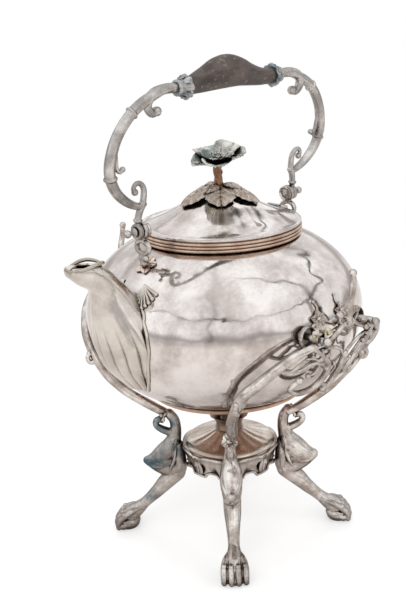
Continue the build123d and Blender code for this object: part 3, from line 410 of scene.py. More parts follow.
    def copy_from(self, other: "Mould", move: Move, flip: bool = False) -> None:
        """Add another mould's surfaces, each point moved.

        Args:
            other: The mould to copy.
            move: Gives each point's new place.
            flip: Whether the move mirrors, so that the faces turn over.
        """
        base = len(self.points)
        self.points.extend(move(p) for p in other.points)
        for face in other.faces:
            new = [base + k for k in face]
            self.faces.append(new[::-1] if flip else new)

    def cast(
        self,
        body: Body,
        nodes: Iterable[str],
        finish: "Finish",
        melt: float = 0.0,
        soften: int = 4,
    ) -> None:
        """Turn the mould into an object that stands for CAD nodes.

        Args:
            body: Moving group that it rides on.
            nodes: CAD nodes that it replaces.
            finish: What it is made of.
            melt: Voxel size that runs its surfaces together, or 0.
            soften: Smoothing steps after melting.
        """
        mesh = bpy.data.meshes.new(self.name)
        mesh.from_pydata([p * MM for p in self.points], [], self.faces)
        work = bmesh.new()
        work.from_mesh(mesh)
        bmesh.ops.remove_doubles(work, verts=work.verts, dist=MERGE_GAP * MM)
        bmesh.ops.recalc_face_normals(work, faces=work.faces)
        work.to_mesh(mesh)
        work.free()
        piece = bpy.data.objects.new(self.name, mesh)
        bpy.context.scene.collection.objects.link(piece)
        if melt:
            remesh = piece.modifiers.new("melt", "REMESH")
            remesh.mode = "VOXEL"
            remesh.voxel_size = melt * MM
            relax = piece.modifiers.new("soften", "SMOOTH")
            relax.iterations = soften
            shaped = bpy.data.meshes.new_from_object(
                piece.evaluated_get(bpy.context.evaluated_depsgraph_get())
            )
            piece.modifiers.clear()
            piece.data = shaped
        piece.data.name = self.name
        sharpen(piece.data)
        piece.data.materials.clear()
        piece.data.materials.append(finish.material())
        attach(piece, body.value)
        nodes = list(nodes)
        if nodes:
            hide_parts(*nodes)
        log.info("%s: %d faces, rides on %s", self.name, len(piece.data.polygons), body.value)


def sharpen(mesh: bpy.types.Mesh, crease: float = 38.0) -> None:
    """Shade a mesh smoothly, apart from its sharp edges.

    Args:
        mesh: The mesh.
        crease: Angle in degrees above which an edge stays sharp.
    """
    work = bmesh.new()
    work.from_mesh(mesh)
    limit = math.radians(crease)
    for face in work.faces:
        face.smooth = True
    for edge in work.edges:
        edge.smooth = len(edge.link_faces) == 2 and edge.calc_face_angle(0.0) < limit
    work.to_mesh(mesh)
    work.free()


def placed(centre: Point, axis: Point) -> Move:
    """Move that brings the vertical axis to another axis.

    Args:
        centre: Point that the origin goes to.
        axis: Direction that the vertical takes.

    Returns:
        The move of one point.
    """
    turn = Vector((0, 0, 1)).rotation_difference(Vector(axis).normalized()).to_matrix()
    home = Vector(centre)
    return lambda p: home + turn @ p


def turned(
    mould: Mould,
    profile: Profile,
    centre: Point,
    axis: Point,
    sides: int = 36,
    ripple: Ripple | None = None,
) -> None:
    """Add a turned shape to a mould.

    Args:
        mould: The mould.
        profile: Points as radius and height along the axis.
        centre: Where the heights start.
        axis: Direction of the axis.
        sides: Faces around.
        ripple: Changes radius and height by the angle, if given.
    """
    part = Mould("turned")
    part.lathe(profile, sides, ripple)
    mould.copy_from(part, placed(centre, axis))


# ---------------------------------------------------------------- finishes
class Graph:
    """Adds and links nodes of a material or a node group."""

    def __init__(self, tree: bpy.types.NodeTree) -> None:
        """Work on a node tree."""
        self.tree = tree

    def node(self, kind: str, links: dict | None = None, **settings: object) -> bpy.types.Node:
        """Add a node.

        Args:
            kind: The node's type.
            links: For each input, a socket to link or a value to set.
            **settings: Attributes of the node.

        Returns:
            The node.
        """
        node = self.tree.nodes.new(kind)
        for key, value in settings.items():
            setattr(node, key, value)
        for key, value in (links or {}).items():
            if isinstance(value, Socket):
                self.tree.links.new(value, node.inputs[key])
            else:
                node.inputs[key].default_value = value
        return node

    def link(self, node: bpy.types.Node, **values: Socket) -> None:
        """Link sockets to a node's inputs, an input's blank being written as an underline."""
        for key, value in values.items():
            self.tree.links.new(value, node.inputs[key.replace("_", " ")])

    def place(self) -> Socket:
        """Place on the piece, in metres."""
        return self.node("ShaderNodeTexCoord").outputs["Object"]

    def noise(self, at: Socket, scale: object, detail: float, rough: float) -> Socket:
        """Noise value over a place."""
        values = {"Vector": at, "Scale": scale, "Detail": detail, "Roughness": rough}
        return self.node("ShaderNodeTexNoise", values).outputs["Fac"]

    def span(self, value: Socket, low: float, high: float, start: float = 0.0, end: float = 1.0) -> Socket:
        """Value brought smoothly from low and high to start and end."""
        values = {"Value": value, 1: low, 2: high, 3: start, 4: end}
        return self.node("ShaderNodeMapRange", values, interpolation_type="SMOOTHSTEP").outputs[0]

    def math(self, operation: str, a: object, b: object = 0.0) -> Socket:
        """Result of a sum on two values."""
        return self.node("ShaderNodeMath", {0: a, 1: b}, operation=operation).outputs[0]

    def times(self, a: object, b: object) -> Socket:
        """Product of two values."""
        return self.math("MULTIPLY", a, b)

    def plus(self, a: object, b: object) -> Socket:
        """Sum of two values."""
        return self.math("ADD", a, b)

    def mix(self, mask: object, a: object, b: object) -> Socket:
        """Colour between two, by a mask."""
        values = {0: mask, 6: a, 7: b}
        return self.node("ShaderNodeMix", values, data_type="RGBA", clamp_factor=True).outputs[2]

    def bump(self, height: Socket, strength: float, distance: float, **more: Socket) -> Socket:
        """Normal raised by a height."""
        values = {"Height": height, "Strength": strength, "Distance": distance}
        return self.node("ShaderNodeBump", values | more).outputs[0]


def group(name: str, inputs: dict, outputs: dict) -> tuple[bpy.types.NodeTree, Graph, object, object]:
    """Empty shader node group.

    Args:
        name: Its name.
        inputs: Kind of socket and start value of each input.
        outputs: Kind of socket of each output.

    Returns:
        The group, its graph, and its input and output nodes.
    """
    tree = bpy.data.node_groups.new(name, "ShaderNodeTree")
    for key, (kind, value) in inputs.items():
        socket = tree.interface.new_socket(key, in_out="INPUT", socket_type=kind)
        socket.default_value = value
    for key, kind in outputs.items():
        tree.interface.new_socket(key, in_out="OUTPUT", socket_type=kind)
    return tree, Graph(tree), tree.nodes.new("NodeGroupInput"), tree.nodes.new("NodeGroupOutput")


def aged_plate_group() -> bpy.types.NodeTree:
    """Group for old silver plate: mottled film, hollows darkened by tarnish and painted shade, stains and
    fine pits.

    Returns:
        The group, built at the first call.
    """
    if "aged_plate" in bpy.data.node_groups:
        return bpy.data.node_groups["aged_plate"]
    colour, value = "NodeSocketColor", "NodeSocketFloat"
    tree, g, given, made = group(
        "aged_plate",
        {
            "Bright": (colour, (0.8, 0.8, 0.8, 1)),
            "Film": (colour, (0.6, 0.6, 0.6, 1)),
            # Dark colour of tarnish in hollows, also laid on as painted shade
            "Crevice": (colour, (0.1, 0.08, 0.06, 1)),
            "Stain": (colour, (0.2, 0.4, 0.5, 1)),
            "Mottle Scale": (value, 40.0),
            "Film Amount": (value, 0.5),
            "Crevice Reach": (value, 0.004),
            "Crevice Amount": (value, 1.0),
            "Stain Amount": (value, 0.0),
            "Shine": (value, 0.1),
            "Haze": (value, 0.25),
        },
        {"Color": colour, "Roughness": value, "Height": value},
    )
    at = g.place()
    scale = given.outputs["Mottle Scale"]
    cloud = g.noise(at, scale, 7.0, 0.62)
    speck = g.noise(at, g.times(scale, 9.0), 4.0, 0.7)
    film = g.times(g.span(g.plus(cloud, g.times(speck, 0.22)), *FILM_SPAN), given.outputs["Film Amount"])
    tone = g.mix(film, given.outputs["Bright"], given.outputs["Film"])
    patch = g.noise(at, g.times(scale, 0.45), 5.0, 0.55)
    stain = g.times(g.span(patch, *STAIN_SPAN), given.outputs["Stain Amount"])
    tone = g.mix(stain, tone, given.outputs["Stain"])
    # Tarnish in hollows and painted shade: ambient occlusion and pointiness darken hollows, grooves and
    # places where parts crowd together towards the dark colour
    reach = {"Distance": given.outputs["Crevice Reach"]}
    shelter = g.node("ShaderNodeAmbientOcclusion", reach, samples=6).outputs["AO"]
    tarnish_and_shade_mask = g.span(g.plus(shelter, g.times(speck, 0.16)), *SHELTER_SPAN)
    hollow = g.node("ShaderNodeNewGeometry").outputs["Pointiness"]
    groove = g.span(g.plus(hollow, g.times(speck, 0.02)), *GROOVE_SPAN)
    tarnish_and_shade_mask = g.times(g.math("MAXIMUM", tarnish_and_shade_mask, groove), given.outputs["Crevice Amount"])
    tone = g.mix(tarnish_and_shade_mask, tone, given.outputs["Crevice"])
    haze = g.times(g.plus(film, tarnish_and_shade_mask), given.outputs["Haze"])
    rough = g.plus(g.plus(given.outputs["Shine"], haze), g.times(speck, 0.05))
    g.link(made, Color=tone, Roughness=rough, Height=g.plus(speck, g.times(cloud, 0.6)))
    return tree


@dataclass(frozen=True)
class Finish:
    """What a piece is made of, and the record's slot for it."""

    name: str
    slot: str

    def material(self) -> bpy.types.Material:
        """The finish's material.

        Returns:
            The material, made at the first call.
        """
        if self.name in bpy.data.materials:
            return bpy.data.materials[self.name]
        made = bpy.data.materials.new(self.name)
        made.use_nodes = True
        made.node_tree.nodes.clear()
        g = Graph(made.node_tree)
        shader = g.node("ShaderNodeBsdfPrincipled")
        self.dress(g, shader)
        g.node("ShaderNodeOutputMaterial", {"Surface": shader.outputs[0]})
        return made

    def dress(self, g: Graph, shader: bpy.types.Node) -> None:
        """Link the finish's colours and surface to its shader."""
        raise NotImplementedError


@dataclass(frozen=True)
class OldPlate(Finish):
    """Silver plate that has aged."""

    bright: Colour = (0.83, 0.79, 0.76)
    film: Colour = (0.56, 0.49, 0.46)
    # Dark colour for tarnish in hollows, and for painted shade in hollows and on turned-away edges
    crevice: Colour = (0.07, 0.05, 0.04)
    stain: Colour = (0.16, 0.3, 0.34)
    mottle: float = 45.0
    film_amount: float = 0.55
    reach: float = 0.005
    crevice_amount: float = 0.95
    stain_amount: float = 0.0
    shine: float = 0.12
    haze: float = 0.22
    pits: float = 0.05
    waves: float = 0.0
    # Strength of painted shade that darkens edges turning away from the camera
    rim: float = 0.0

    def dress(self, g: Graph, shader: bpy.types.Node) -> None:
        """Link the aged plate to the shader.

        Args:
            g: The material's graph.
            shader: Its shader.
        """
        values = {
            "Bright": (*self.bright, 1),
            "Film": (*self.film, 1),
            "Crevice": (*self.crevice, 1),
            "Stain": (*self.stain, 1),
            "Mottle Scale": self.mottle,
            "Film Amount": self.film_amount,
            "Crevice Reach": self.reach,
            "Crevice Amount": self.crevice_amount,
            "Stain Amount": self.stain_amount,
            "Shine": self.shine,
            "Haze": self.haze,
        }
        age = g.node("ShaderNodeGroup", node_tree=aged_plate_group())
        for key, value in values.items():
            age.inputs[key].default_value = value
        shader.inputs["Metallic"].default_value = 1.0
        tone = age.outputs["Color"]
        # Painted shade: the Layer Weight facing darkens edges that turn away from the camera towards the
        # dark colour
        if self.rim:
            edge = g.node("ShaderNodeLayerWeight", {"Blend": EDGE_SHADE_BLEND}).outputs["Facing"]
            tone = g.mix(g.times(edge, self.rim), tone, (*self.crevice, 1))
        normal = g.bump(age.outputs["Height"], self.pits, PIT_HEIGHT)
        if self.waves:
            dents = g.noise(g.place(), 22.0, 2.0, 0.4)
            normal = g.bump(dents, self.waves, DENT_HEIGHT, Normal=normal)
        g.link(shader, Base_Color=tone, Roughness=age.outputs["Roughness"], Normal=normal)


@dataclass(frozen=True)
class StainedWood(Finish):
    """Dark turned wood with pale specks and a worn polish."""

    dark: Colour = (0.02, 0.014, 0.012)
    pale: Colour = (0.085, 0.064, 0.055)
    speck: Colour = (0.4, 0.34, 0.3)

    def dress(self, g: Graph, shader: bpy.types.Node) -> None:
        """Link grain, specks and polish to the shader.

        Args:
            g: The material's graph.
            shader: Its shader.
        """
        at = g.place()
        stretched = g.node("ShaderNodeMapping", {"Vector": at, "Scale": (0.35, 1.0, 1.0)}).outputs[0]
        grain = g.noise(stretched, 90.0, 8.0, 0.7)
        speck = g.times(g.span(g.noise(at, 300.0, 5.0, 0.7), 0.57, 0.72), 0.5)
        tone = g.mix(g.span(grain, 0.36, 0.66), (*self.dark, 1), (*self.pale, 1))
        tone = g.mix(speck, tone, (*self.speck, 1))
        rough = g.span(grain, 0.3, 0.7, 0.42, 0.6)
        g.link(shader, Base_Color=tone, Roughness=rough, Normal=g.bump(grain, 0.25, PIT_HEIGHT))


@dataclass(frozen=True)
class WovenCotton(Finish):
    """Cotton wick, scorched at the top."""

    valley: Colour = (0.5, 0.43, 0.33)
    thread: Colour = (0.8, 0.74, 0.62)
    scorch: Colour = (0.09, 0.07, 0.06)
    scorch_heights: tuple[float, float] = (0.0975, 0.0992)

    def dress(self, g: Graph, shader: bpy.types.Node) -> None:
        """Link the weave and the scorch to the shader.

        Args:
            g: The material's graph.
            shader: Its shader.
        """
        at = g.place()
        wave = {"Vector": at, "Scale": 260.0, "Distortion": 3.0}
        weave = g.node("ShaderNodeTexWave", wave, bands_direction="Z").outputs["Fac"]
        tone = g.mix(weave, (*self.valley, 1), (*self.thread, 1))
        height = g.node("ShaderNodeSeparateXYZ", {0: at}).outputs["Z"]
        tone = g.mix(g.span(height, *self.scorch_heights), tone, (*self.scorch, 1))
        shader.inputs["Roughness"].default_value = 0.95
        g.link(shader, Base_Color=tone, Normal=g.bump(weave, 0.5, 0.0005))


BODY_PLATE = OldPlate(
    "body_plate", "kettle_silver", bright=(0.84, 0.8, 0.78), film=(0.45, 0.395, 0.37),
    mottle=26.0, film_amount=0.85, reach=0.012, crevice_amount=0.65, shine=0.02, haze=0.14,
    pits=0.02, waves=0.4,
)
SPOUT_PLATE = OldPlate(
    "spout_plate", "kettle_silver", bright=(0.76, 0.73, 0.69), film=(0.48, 0.42, 0.38), mottle=40.0,
    film_amount=0.7, reach=0.009, crevice_amount=1.0, stain=(0.66, 0.61, 0.5), stain_amount=0.35,
    shine=0.06,
)
MOUNT_PLATE = OldPlate(
    "mount_plate", "kettle_silver", bright=(0.76, 0.73, 0.7), film=(0.32, 0.28, 0.25), mottle=90.0,
    rim=0.75, film_amount=0.8, reach=0.005, crevice_amount=1.0, shine=0.13,
)
ROSE_PLATE = OldPlate(
    "rose_plate", "kettle_silver", bright=(0.8, 0.68, 0.6), film=(0.45, 0.31, 0.25), mottle=110.0,
    reach=0.004, crevice_amount=0.9, shine=0.12,
)
LIP_PLATE = OldPlate(
    "lip_plate", "kettle_silver", bright=(0.56, 0.52, 0.44), film=(0.27, 0.23, 0.17), mottle=80.0,
    film_amount=0.9, reach=0.005, shine=0.12,
)
SPRIG_PLATE = OldPlate(
    "sprig_plate", "kettle_silver", bright=(0.7, 0.64, 0.6), film=(0.4, 0.32, 0.28), mottle=90.0,
    reach=0.0025, crevice_amount=0.6, shine=0.16,
)
LEAF_PLATE = OldPlate(
    "leaf_plate", "kettle_silver", bright=(0.66, 0.6, 0.54), film=(0.38, 0.29, 0.23),
    crevice=(0.04, 0.025, 0.02), mottle=240.0, film_amount=1.0, reach=0.005, shine=0.2, pits=0.8,
)
PETAL_TARNISH = OldPlate(
    "blue_petal_plate", "petal_tarnish", bright=(0.76, 0.75, 0.7), film=(0.27, 0.27, 0.24),
    crevice=(0.03, 0.035, 0.03), stain=(0.1, 0.19, 0.2), mottle=90.0, film_amount=0.9,
    reach=0.008, crevice_amount=1.0, stain_amount=0.6, shine=0.14, pits=0.25,
)
COPPER_STEM = OldPlate(
    "copper_stem", "copper", bright=(0.5, 0.3, 0.2), film=(0.25, 0.13, 0.08), mottle=120.0,
    film_amount=0.9, reach=0.004, shine=0.25, pits=0.3,
)
COPPER_WORN = OldPlate(
    "copper_worn", "copper", bright=(0.62, 0.42, 0.33), film=(0.4, 0.26, 0.19), mottle=60.0,
    film_amount=0.9, reach=0.006, shine=0.18,
)
PALE_GILT = OldPlate(
    "pale_gilt", "gilt", bright=(0.7, 0.64, 0.42), film=(0.42, 0.35, 0.22), mottle=60.0,
    film_amount=0.7, reach=0.003, shine=0.12,
)
GILT_WORN = OldPlate(
    "gilt_worn", "gilt", bright=(0.74, 0.57, 0.46), film=(0.48, 0.3, 0.21), mottle=60.0,
    film_amount=0.8, reach=0.003, shine=0.14,
)
BAIL_PLATE = OldPlate(
    "bail_plate", "bail_silver", bright=(0.72, 0.7, 0.68), film=(0.3, 0.28, 0.265), mottle=70.0,
    rim=0.75, film_amount=0.8, reach=0.004, shine=0.2, pits=0.12,
)
COLLAR_PLATE = OldPlate(
    "collar_plate", "bail_silver", bright=(0.58, 0.58, 0.56), film=(0.24, 0.25, 0.25), mottle=130.0,
    stain=(0.09, 0.2, 0.25), stain_amount=0.6, film_amount=0.8, reach=0.004, shine=0.2,
)
STAND_PLATE = OldPlate(
    "stand_plate", "stand_silver", bright=(0.88, 0.84, 0.8), film=(0.3, 0.24, 0.2), mottle=80.0, rim=0.8,
    film_amount=0.8, reach=0.009, crevice_amount=1.0, shine=0.07, haze=0.14, pits=0.06,
)
PAW_PLATE = OldPlate(
    "paw_plate", "stand_silver", bright=(0.74, 0.7, 0.67), film=(0.24, 0.2, 0.175), rim=0.9, mottle=60.0,
    film_amount=0.8, reach=0.014, crevice_amount=1.0, shine=0.08, haze=0.14, pits=0.08,
)
BLUED_LEG = OldPlate(
    "blued_leg", "stand_silver", bright=(0.74, 0.7, 0.66), film=(0.25, 0.21, 0.18), rim=0.8, mottle=50.0,
    film_amount=0.75, reach=0.009, stain=(0.06, 0.13, 0.17), stain_amount=1.0, shine=0.12, pits=0.1,
)
BURNER_PLATE = OldPlate(
    "burner_plate", "burner_silver", bright=(0.72, 0.66, 0.6), film=(0.42, 0.33, 0.27), mottle=45.0,
    film_amount=0.85, reach=0.01, shine=0.16,
)
BURNER_DARK = OldPlate(
    "burner_dark", "burner_silver", bright=(0.46, 0.35, 0.28), film=(0.2, 0.13, 0.09), mottle=60.0,
    film_amount=0.9, reach=0.012, crevice_amount=1.0, shine=0.25,
)
PIN_METAL = OldPlate(
    "pin_metal", "pin_steel", bright=(0.55, 0.53, 0.5), film=(0.3, 0.28, 0.26), mottle=90.0,
    reach=0.003, shine=0.28,
)
GRIP_WOOD = StainedWood("speckled_wood", "grip_wood")
WICK_COTTON = WovenCotton("scorched_weave", "wick_cotton")


def dress_nodes(finish: Finish, *names: str) -> None:
    """Give CAD pieces that stay their finish.

    Args:
        finish: The finish.
        *names: Their nodes.
    """
    for name in names:
        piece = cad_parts[name]
        piece.data.materials.clear()
        piece.data.materials.append(finish.material())
        log.info("%s: CAD piece kept, dressed in %s", name, finish.name)


def bezier(points: Profile, t: float) -> tuple[float, float]:
    """Point on a cubic curve.

    Args:
        points: Its four control points.
        t: Place on it, from 0 to 1.

    Returns:
        The point.
    """
    s = 1 - t
    weights = (s**3, 3 * s * s * t, 3 * s * t * t, t**3)
    return tuple(sum(w * p[i] for w, p in zip(weights, points)) for i in (0, 1))


# ---------------------------------------------------------------- kettle
@dataclass
class KettleBody:
    """Round belly with its neck band, base ring and base plate."""

    belly: tuple[float, float] = (110.0, 196.0)
    neck: tuple[float, float] = (60.0, 255.0)
    foot: tuple[float, float] = (61.0, 132.0)
    shoulder_pull: Triple = (25.0, 9.0, 28.0)
    foot_pull: Triple = (30.0, 25.0, 6.0)
    wall: float = 1.6
    lip: float = 262.2
    dent_depth: float = 0.25
    dent_height: float = 70.0
    dents_around: float = 1.7
    shoulder_steps: int = 34
    underside_steps: int = 28
    sides: int = 192

    def curves(self, inset: float) -> tuple[Profile, Profile]:
        """Control points of shoulder and underside.

        Args:
            inset: How far they are drawn in from the outside.

        Returns:
            The points of both curves, from the neck down.
        """
        belly = (self.belly[0] - inset, self.belly[1])
        neck = (self.neck[0] - inset, self.neck[1])
        foot = (self.foot[0] - inset, self.foot[1] + inset)
        out, down, up = self.shoulder_pull
        shoulder = [neck, (neck[0] + out, neck[1] - down - inset), (belly[0], belly[1] + up), belly]
        drop, out, up = self.foot_pull
        underside = [belly, (belly[0], belly[1] - drop), (foot[0] + out, foot[1] + up), foot]
        return shoulder, underside

    def outline(self, inset: float) -> list[tuple[float, float]]:
        """Points of the belly from neck to foot.

        Args:
            inset: How far they are drawn in from the outside.

        Returns:
            The points as radius and height.
        """
        shoulder, underside = self.curves(inset)
        high, low = self.shoulder_steps, self.underside_steps
        top = [bezier(shoulder, k / high) for k in range(high + 1)]
        return top + [bezier(underside, k / low) for k in range(1, low + 1)]

    def radius_at(self, height: float) -> float:
        """Outside radius at a height.

        Args:
            height: The height.

        Returns:
            The radius there, or the neck's above the belly.
        """
        points = self.outline(0.0)
        for (r0, z0), (r1, z1) in zip(points, points[1:]):
            if z1 <= height <= z0:
                return r0 + (r1 - r0) * (z0 - height) / max(z0 - z1, 1e-6)
        return self.neck[0]

    def height_at(self, radius: float) -> float:
        """Height of the shoulder at a radius.

        Args:
            radius: The radius.

        Returns:
            The height there.
        """
        shoulder = self.curves(0.0)[0]
        points = [bezier(shoulder, k / 80) for k in range(81)]
        return min(points, key=lambda p: abs(p[0] - radius))[1]

    def lying(self, x: float, z: float, lift: float, side: int) -> Triple:
        """Point above the belly.

        Args:
            x: Its place along X.
            z: Its height.
            lift: How far it stands off the belly.
            side: Sign of Y.

        Returns:
            The point.
        """
        r = self.radius_at(z) + lift
        return (x, side * math.sqrt(r * r - x * x), z)

    def dented(self, r: float, z: float, a: float) -> tuple[float, float]:
        """Belly's surface with the faint dents of long use, never beyond its true form.

        Args:
            r: Radius of the true form.
            z: Height.
            a: Angle.

        Returns:
            Radius and height of the dented form.
        """
        if z >= self.neck[1] - 2:
            return r, z
        place = Vector((math.cos(a), math.sin(a), z / self.dent_height)) * self.dents_around
        return r - self.dent_depth * (0.5 + 0.5 * noise.noise(place)), z

    def build(self) -> None:
        """Cast the belly and dress its mouldings."""
        outer = [(self.neck[0], self.lip)] + self.outline(0.0)
        inner = [(self.foot[0] - self.wall, self.foot[1])] + self.outline(self.wall)[::-1]
        inner.append((self.neck[0] - self.wall, self.lip))
        belly = Mould("belly")
        belly.lathe(outer + inner, self.sides, self.dented)
        belly.cast(Body.KETTLE, ["kettle_body"], BODY_PLATE)
        dress_nodes(GILT_WORN, "neck_band")
        dress_nodes(COPPER_WORN, "base_moulding", "kettle_base")


@dataclass
class Spout:
    """Fluted fan on the belly that narrows to an open beak."""

    stations: Path = (
        (86.0, 156.0, 14.0, 15.0, 0.0),
        (96.0, 174.0, 19.5, 24.9, 0.0),
        (100.0, 192.0, 23.0, 29.0, 0.0),
        (104.0, 208.0, 22.0, 25.5, 5.0),
        (110.5, 225.0, 17.5, 18.0, 12.0),
        (117.5, 238.0, 12.3, 12.3, 28.0),
        (125.0, 247.5, 10.0, 10.0, 48.0),
        (137.0, 255.0, 9.5, 9.0, 68.0),
        (148.0, 258.0, 4.5, 5.0, 78.0),
    )
    wall: float = 1.4
    flutes: int = 15
    flute_depth: float = 0.05
    cut_height: float = 257.0
    cut_x: float = -119.0
    cut_slope: float = 0.12
    slit: float = 0.004
    open_lean: float = 30.0
    bead: float = 1.3
    scallop_depth: float = 2.2
    bead_top: float = 238.0
    fan_seat: tuple[float, float] = (11.5, 236.5)
    fan_reaches: Sequence[float] = (0.0, 5.5, 11.0, 15.5)
    fan_radii: Sequence[float] = (0.6, 0.9, 1.3, 1.6)
    fan_ribs: int = 9
    sides: int = 90
    lips: Path = (
        (-119.2, 0, 257.2, 1.1), (-121.0, 4.4, 258.9, 1.3), (-126.0, 8.0, 260.2, 1.5),
        (-132.5, 9.0, 259.9, 1.4), (-139.5, 8.0, 258.7, 1.2), (-145.5, 5.6, 258.1, 1.1),
        (-148.6, 2.8, 258.4, 1.0), (-149.3, 0, 258.7, 1.0),
    )

    def ring(self, station: Point, inset: float, share: float) -> list[Vector]:
        """Points of one section, open above the beak's edge.

        Args:
            station: x out, 0, height, half length, half width and lean.
            inset: How far the section is drawn in.
            share: How deep the flutes are, from 0 to 1.

        Returns:
            The points from one edge of the beak under the spout to the other.
        """
        x, _, z, long, wide, lean = station
        s, c = math.sin(math.radians(lean)), math.cos(math.radians(lean))
        reach = long * (s + self.cut_slope * c)
        edge = (self.cut_height - z - self.cut_slope * (-x - self.cut_x)) / max(reach, 0.1)
        limit = math.pi - self.slit
        if lean > self.open_lean:
            limit = min(limit, math.acos(max(min(-edge, 1.0), -1.0)))
        points = []
        for k in range(self.sides + 1):
            a = -limit + 2 * limit * k / self.sides
            flute = 1 + self.flute_depth * share * (abs(math.cos(self.flutes * a / 2)) * 2 - 1)
            down, across = (long - inset) * flute * math.cos(a), (wide - inset) * flute * math.sin(a)
            points.append(Vector((-x - c * down, across, z - s * down)))
        return points

    def build(self, kettle: KettleBody) -> None:
        """Cast the spout, its scalloped root and its curled lips.

        Args:
            kettle: The belly that it grows from.
        """
        mould = Mould("beak_spout")
        line = flow([[x, 0, z, long, wide, lean] for x, z, long, wide, lean in self.stations], 1.5)
        rings = []
        for i, station in enumerate(line):
            along = i / (len(line) - 1)
            share = 1 - ease((along - 0.25) / 0.4)
            close = ease((along - 0.9) / 0.1) * 3.0
            inner = self.ring(station, self.wall + close, share * 0.6)
            rings.append(self.ring(station, 0.0, share) + inner[::-1])
        mould.skin(rings)
        self.edging(mould, kettle, line)
        lips = Mould("curled_lips")
        for side in Side:
            lips.tube([(x, side.value * y, z) for x, y, z, _ in self.lips], [p[3] for p in self.lips])
            self.shell(mould, kettle, side.value)
        mould.cast(Body.KETTLE, ["spout"], SPOUT_PLATE)
        lips.cast(Body.KETTLE, [], LIP_PLATE)

    def edging(self, mould: Mould, kettle: KettleBody, line: Path) -> None:
        """Add the scalloped bead where the spout meets the belly.

        Args:
            mould: The spout's mould.
            kettle: The belly.
            line: Stations along the spout.
        """
        edge = []
        for k in range(-75, 76):
            angle = math.pi * k / 90
            path = []
            for x, _, z, long, wide, lean in line:
                s, c = math.sin(math.radians(lean)), math.cos(math.radians(lean))
                down, across = long * math.cos(angle), wide * math.sin(angle)
                point = Vector((-x - c * down, across, z - s * down))
                if Vector((point.x, point.y)).length > kettle.radius_at(point.z) - 0.6:
                    path.append(point)
            if len(path) < 6 or path[0].z > self.bead_top:
                continue
            foot = path[0]
            away = (foot - path[4]).normalized() * 0.6 + Vector((0, math.copysign(0.6, foot.y), 0))
            foot = foot + away * (self.scallop_depth * abs(math.sin(angle * 7.5)))
            flat = Vector((foot.x, foot.y))
            flat *= (kettle.radius_at(foot.z) + 0.2) / flat.length
            edge.append((flat.x, flat.y, foot.z))
        if len(edge) > 8:
            mould.tube(edge, [0.9] + [self.bead] * (len(edge) - 2) + [0.9], sides=10)

    def shell(self, mould: Mould, kettle: KettleBody, side: int) -> None:
        """Add the fan of ribs that spreads on the shoulder beside the spout.

        Args:
            mould: The spout's mould.
            kettle: The belly.
            side: Sign of Y.
        """
        for k in range(self.fan_ribs):
            a = math.radians(16 + 11 * k)
            spine = []
            for reach in self.fan_reaches:
                y = self.fan_seat[0] + reach * math.cos(a) * 0.9
                z = self.fan_seat[1] - reach * math.sin(a)
                r = kettle.radius_at(z) + 0.9
                spine.append((-math.sqrt(r * r - y * y), side * y, z))
            mould.tube(spine, self.fan_radii, tip=1.7, sides=12, flat=0.8)


